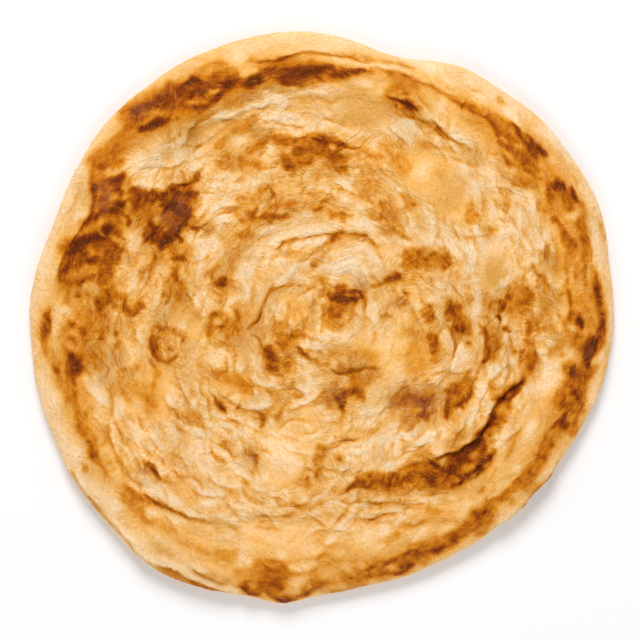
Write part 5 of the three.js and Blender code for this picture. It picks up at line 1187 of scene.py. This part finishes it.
def make_bread():
    mould = smooth_copy(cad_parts["paratha"])
    ball = bmesh.new()
    bmesh.ops.create_cube(ball, size=2)
    bmesh.ops.subdivide_edges(ball, edges=ball.edges, cuts=CUTS, use_grid_fill=True)
    places, out, round_ = press(ball, mould)
    spot = measured(places, round_)

    height = turns(spot) + stacked_sheets(spot) + wrinkles(spot)
    shade, pale_lip_glint, push = lay_folds(spot, height)
    crust = browned_places(ball, spot)
    height += blisters(crust) + side_wall(spot) - dents(spot)

    placed = places + out * height[:, None]
    placed[:, :2] += push * spot.top[:, None]
    placed[:, 2] = np.maximum(placed[:, 2], 0.0)
    near_height = neighbours_mean(ball, height, 2)
    far_height = neighbours_mean(ball, near_height, 16)
    # How far each place lies in a hollow, which paints shade into the tones.
    pit_shade = np.clip((far_height - near_height) / PIT_DEPTH, -1.5, 1.5)
    bread = bread_from(ball, placed)

    dough = dough_tone(spot, placed, crust, pit_shade, pale_lip_glint, shade)
    # The tone carries the browning and all the painted shade.
    tone = np.maximum(np.maximum(dough, browned_and_shadow_tone(crust, pit_shade)), underside_tone(spot, placed))
    flaky = np.maximum(spot.crisp, 0.45 * (1.0 - spot.inner)) * (1.0 - 0.4 * crust.burnt)
    layers = bread.data.attributes
    for name, values in (("toast_and_shade", tone), ("mauve", crust.mauve), ("flaky", flaky), ("oily_and_shaded", crust.oily_and_shaded)):
        layers.new(name, "FLOAT", "POINT").data.foreach_set("value", values.astype(np.float32))
    weft = np.column_stack([spot.swayed * WEFT_RUN, spot.weave])
    layers.new("flow", "FLOAT_VECTOR", "POINT").data.foreach_set("vector", weft.astype(np.float32).ravel())
    return bread


# ---- Crust material ------------------------------------------------------------------------------
# Tones from palest dough to scorched, each a place on the ramp and a screen colour.
CRUST_TONES = [
    (0.00, (255, 222, 178)),
    (0.13, (255, 210, 154)),
    (0.28, (245, 184, 101)),
    (0.43, (228, 150, 45)),
    (0.58, (206, 118, 8)),
    (0.72, (168, 81, 1)),
    (0.86, (127, 43, 0)),
    (1.00, (86, 20, 0)),
]
# The grain's light and dark are partly painted fine shading and glints.
SHADING_SHARES = (0.75, 1.0, 1.5)  # how far red, green and blue follow the grain: dark grains are warmer
# Olive tint of oily dough, partly painted shade.
OLIVE_AND_SHADE_TINT = (216, 208, 184)
PLUM_TINT = (150, 84, 56)
# Pale flecks and painted highlights along sheet lips.
FLECK_AND_GLINT_TINT = (255, 222, 176)
# Lighter golden frays on browned skin, partly painted glints.
FRAY_AND_GLINT_TINT = (226, 142, 40)
GLOSS_TINT = (255, 196, 104)
GLOSSIEST = 0.26  # roughness of the glossiest grains
DULLER_BY = 0.40  # how much rougher the dullest grains are
RELIEF_DEPTH = 0.0014  # metres
RELIEF_STRENGTH = 0.6


def linear(red, green, blue):
    """A screen colour, 0 to 255, as the linear colour that shaders take."""
    parts = [c / 255 for c in (red, green, blue)]
    return tuple(c / 12.92 if c <= 0.04045 else ((c + 0.055) / 1.055) ** 2.4 for c in parts) + (1.0,)


class Paint:
    """The nodes of one material, made step by step."""

    def __init__(self, name):
        self.material = bpy.data.materials.new(name)
        self.material.use_nodes = True
        self.nodes = self.material.node_tree.nodes
        self.links = self.material.node_tree.links
        self.shader = self.nodes["Principled BSDF"]
        self.place = self.nodes.new("ShaderNodeTexCoord").outputs["Object"]

    def attribute(self, name, output="Fac"):
        node = self.nodes.new("ShaderNodeAttribute")
        node.attribute_name = name
        return node.outputs[output]

    def math(self, kind, a, b, clamp=False):
        node = self.nodes.new("ShaderNodeMath")
        node.operation = kind
        node.use_clamp = clamp
        for socket, value in zip(node.inputs, (a, b)):
            if isinstance(value, (int, float)):
                socket.default_value = value
            else:
                self.links.new(value, socket)
        return node.outputs[0]

    def add(self, a, b):
        return self.math("ADD", a, b)

    def times(self, a, b):
        return self.math("MULTIPLY", a, b)

    def less(self, a, b):
        return self.math("SUBTRACT", a, b)

    def grain(self, scale, detail, rough=0.6, where=None):
        node = self.nodes.new("ShaderNodeTexNoise")
        node.inputs["Scale"].default_value = scale
        node.inputs["Detail"].default_value = detail
        node.inputs["Roughness"].default_value = rough
        self.links.new(where or self.place, node.inputs["Vector"])
        return node.outputs["Fac"]

    def level(self, value, low, high):
        """0 below low and 1 above high, or the other way round where low is the larger."""
        node = self.nodes.new("ShaderNodeMapRange")
        node.interpolation_type = "SMOOTHSTEP"
        node.inputs["From Min"].default_value = low
        node.inputs["From Max"].default_value = high
        self.links.new(value, node.inputs["Value"])
        return node.outputs["Result"]

    def crease(self, field):
        """1 on the thin lines where a field passes its middle."""
        return self.level(self.math("ABSOLUTE", self.less(field, 0.5), 0.0), 0.040, 0.0)

    def lip(self, sheet):
        """1 along the upper edge of a sheet."""
        return self.times(self.level(sheet, 0.50, 0.52), self.level(sheet, 0.56, 0.53))

    def mixed(self, colour, other, amount, kind="MIX"):
        node = self.nodes.new("ShaderNodeMix")
        node.data_type = "RGBA"
        node.blend_type = kind
        factor, first, second = node.inputs["Factor"], node.inputs[6], node.inputs[7]
        if isinstance(amount, float):
            factor.default_value = amount
        else:
            self.links.new(amount, factor)
        self.links.new(colour, first)
        if isinstance(other, tuple):
            second.default_value = linear(*other)
        else:
            self.links.new(other, second)
        return node.outputs[2]

    def ramp(self, tones, value):
        node = self.nodes.new("ShaderNodeValToRGB")
        stops = node.color_ramp.elements
        while len(stops) < len(tones):
            stops.new(0.5)
        for stop, (at, colour) in zip(stops, tones):
            stop.position = at
            stop.color = linear(*colour)
        self.links.new(value, node.inputs["Fac"])
        return node.outputs["Color"]


def crust_fields(p):
    """The noises and attributes that colour, gloss and relief all read."""
    flow = p.attribute("flow", "Vector")
    toast_and_shade, mauve, flaky, oily_and_shaded = (p.attribute(name) for name in ("toast_and_shade", "mauve", "flaky", "oily_and_shaded"))
    leaves = p.grain(0.15, 4, 0.55, flow)
    leaflets = p.grain(0.34, 3, 0.55, flow)
    return SimpleNamespace(
        flow=flow,
        toast_and_shade=toast_and_shade,
        mauve=mauve,
        flaky=flaky,
        oily_and_shaded=oily_and_shaded,
        shreds=p.grain(0.8, 4, 0.6, flow),
        threads=p.grain(1.3, 3, 0.6, flow),
        fine=p.grain(900, 4),
        coarse=p.grain(260, 5),
        creases=p.math("MAXIMUM", p.crease(p.grain(150, 2, 0.5)), p.crease(p.grain(0.30, 2, 0.5, flow))),
        sheets=p.add(p.level(leaves, 0.48, 0.52), p.level(leaflets, 0.46, 0.54)),
        # Where highlights are painted along the sheet lips.
        lip_glints=p.add(p.lip(leaves), p.lip(leaflets)),
        seared=p.level(toast_and_shade, 0.38, 0.72),
        doughy=p.level(toast_and_shade, 0.62, 0.45),
    )


def crust_tone(p, f):
    """The tone of browning and painted shade laid on the mesh, swung darker and paler by flakes, shade
    painted along the creases, grains and blots.
    """
    dark_flecks = p.times(p.level(f.shreds, 0.57, 0.72), 0.12)
    pale_flecks = p.times(p.level(f.threads, 0.55, 0.70), 0.10)
    # Painted shade: darker along the creases, a little lighter between them.
    crease_shade = p.times(p.less(f.creases, 0.40), 0.07)
    swing = p.times(p.add(p.less(dark_flecks, pale_flecks), crease_shade), f.flaky)
    swing = p.add(swing, p.times(p.less(f.coarse, 0.5), 0.10))
    blots = p.add(p.times(p.grain(300, 2, 0.6), 0.25), p.times(p.grain(800, 3, 0.6), 0.12))
    blots = p.add(blots, p.times(p.grain(0.6, 4, 0.62, f.flow), 0.5))
    swing = p.add(swing, p.times(f.seared, p.less(blots, 0.415)))
    swing = p.add(swing, p.times(p.less(f.fine, 0.5), 0.02))
    return p.math("ADD", f.toast_and_shade, swing, clamp=True)


def grain_and_shading(p, f):
    """Light and dark grains, partly painted fine shading and glints, as a colour that multiplies the crust's
    own.
    """
    value = p.times(p.less(p.grain(1000, 2), 0.5), 0.5)
    value = p.add(value, p.times(p.less(p.grain(1.0, 5, 0.75, f.flow), 0.5), 0.6))
    shading_colour = p.nodes.new("ShaderNodeCombineColor")
    for socket, share in zip(shading_colour.inputs, SHADING_SHARES):
        p.links.new(p.add(1.0, p.times(value, share)), socket)
    return shading_colour.outputs[0]


def crust_colour(p, f):
    # Multiplies in the grains and their painted fine shading.
    colour = p.mixed(p.ramp(CRUST_TONES, crust_tone(p, f)), grain_and_shading(p, f), 1.0, "MULTIPLY")
    # Darkens towards olive: oily dough and painted shade.
    colour = p.mixed(colour, OLIVE_AND_SHADE_TINT, p.times(p.times(f.oily_and_shaded, f.doughy), 0.6), "MULTIPLY")
    plum = p.times(f.mauve, p.level(p.grain(500, 3, 0.7), 0.32, 0.60))
    colour = p.mixed(colour, PLUM_TINT, p.times(plum, 0.5))
    # Pale flecks and highlights painted along threads and sheet lips.
    flecks_and_glints = p.add(p.level(p.grain(1.7, 4, 0.7, f.flow), 0.56, 0.68), p.times(f.lip_glints, 0.35))
    flecks_and_glints = p.times(flecks_and_glints, p.add(0.05, p.times(f.flaky, 0.30)))
    colour = p.mixed(colour, FLECK_AND_GLINT_TINT, p.times(flecks_and_glints, f.doughy))
    # Lighter golden frays on the browned skin, partly painted glints.
    frays_and_glints = p.times(p.level(p.grain(0.9, 5, 0.72, f.flow), 0.54, 0.68), f.seared)
    return p.mixed(colour, FRAY_AND_GLINT_TINT, p.times(frays_and_glints, 0.50))


def crust_relief(p, f):
    """Flakes, creases and grain too fine for the mesh."""
    flakes = p.add(p.add(f.threads, f.shreds), p.times(f.sheets, 0.30))
    flakes = p.times(p.less(flakes, p.times(f.creases, 0.16)), p.add(f.flaky, 0.15))
    node = p.nodes.new("ShaderNodeBump")
    node.inputs["Strength"].default_value = RELIEF_STRENGTH
    node.inputs["Distance"].default_value = RELIEF_DEPTH
    p.links.new(p.add(flakes, p.times(p.add(f.fine, f.coarse), 0.8)), node.inputs["Height"])
    return node.outputs["Normal"]


def crust_material():
    p = Paint("crust")
    f = crust_fields(p)
    p.links.new(crust_colour(p, f), p.shader.inputs["Base Color"])
    rough = p.add(GLOSSIEST, p.times(p.level(f.coarse, 0.38, 0.56), DULLER_BY))
    p.links.new(rough, p.shader.inputs["Roughness"])
    p.shader.inputs["Specular IOR Level"].default_value = 0.5
    p.shader.inputs["Specular Tint"].default_value = linear(*GLOSS_TINT)
    p.links.new(crust_relief(p, f), p.shader.inputs["Normal"])
    return p.material


# ---- Floor, light and camera ---------------------------------------------------------------------
def plain(name, colour, roughness):
    paint = bpy.data.materials.new(name)
    paint.use_nodes = True
    shader = paint.node_tree.nodes["Principled BSDF"]
    shader.inputs["Base Color"].default_value = colour
    shader.inputs["Roughness"].default_value = roughness
    return paint


def aim(thing, place, target):
    thing.location = place
    thing.rotation_euler = (Vector(target) - Vector(place)).to_track_quat("-Z", "Y").to_euler()


FLOOR_HALF = 6.0  # metres
FLOOR_PAPER = (0.93, 0.93, 0.93, 1.0)
SKY_STRENGTH = 0.26
SENSOR = 36.0  # millimetres across
LENS = 101.0  # millimetres of focal length
CAMERA_PLACE = (-0.0005, -0.00083, 0.606)  # metres; the camera looks straight down

# Name, place and width in metres, and power in watts.
LAMPS = [
    ("window", (-0.06, 0.80, 0.72), 0.5, 9.0),
    ("left_fill", (-1.0, -0.15, 0.6), 0.9, 2.55),
    ("right_fill", (1.0, -0.05, 0.6), 0.9, 2.55),
    ("near_fill", (0.0, -1.0, 0.55), 0.9, 5.55),
]


def make_studio():
    form = bmesh.new()
    bmesh.ops.create_grid(form, x_segments=1, y_segments=1, size=FLOOR_HALF)
    mesh = bpy.data.meshes.new("floor")
    form.to_mesh(mesh)
    form.free()
    mesh.materials.append(plain("floor_paper", FLOOR_PAPER, 0.9))
    floor = bpy.data.objects.new("floor", mesh)
    bpy.context.scene.collection.objects.link(floor)

    world = bpy.data.worlds.new("studio")
    world.use_nodes = True
    sky = world.node_tree.nodes["Background"]
    sky.inputs["Color"].default_value = (1.0, 1.0, 1.0, 1.0)
    sky.inputs["Strength"].default_value = SKY_STRENGTH
    bpy.context.scene.world = world

    for name, place, size, power in LAMPS:
        lamp = bpy.data.lights.new(name, "AREA")
        lamp.shape = "DISK"
        lamp.size = size
        lamp.energy = power
        light = bpy.data.objects.new(name, lamp)
        aim(light, place, (0.0, 0.0, 0.0))
        bpy.context.scene.collection.objects.link(light)

    lens = bpy.data.cameras.new("camera")
    lens.sensor_width = SENSOR
    lens.lens = LENS
    camera = bpy.data.objects.new("camera", lens)
    camera.location = CAMERA_PLACE
    bpy.context.scene.collection.objects.link(camera)
    bpy.context.scene.camera = camera
    bpy.context.scene.view_settings.view_transform = "Standard"


make_studio()
bread = make_bread()
bread.data.materials.append(crust_material())
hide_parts("paratha")
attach(bread, "root")
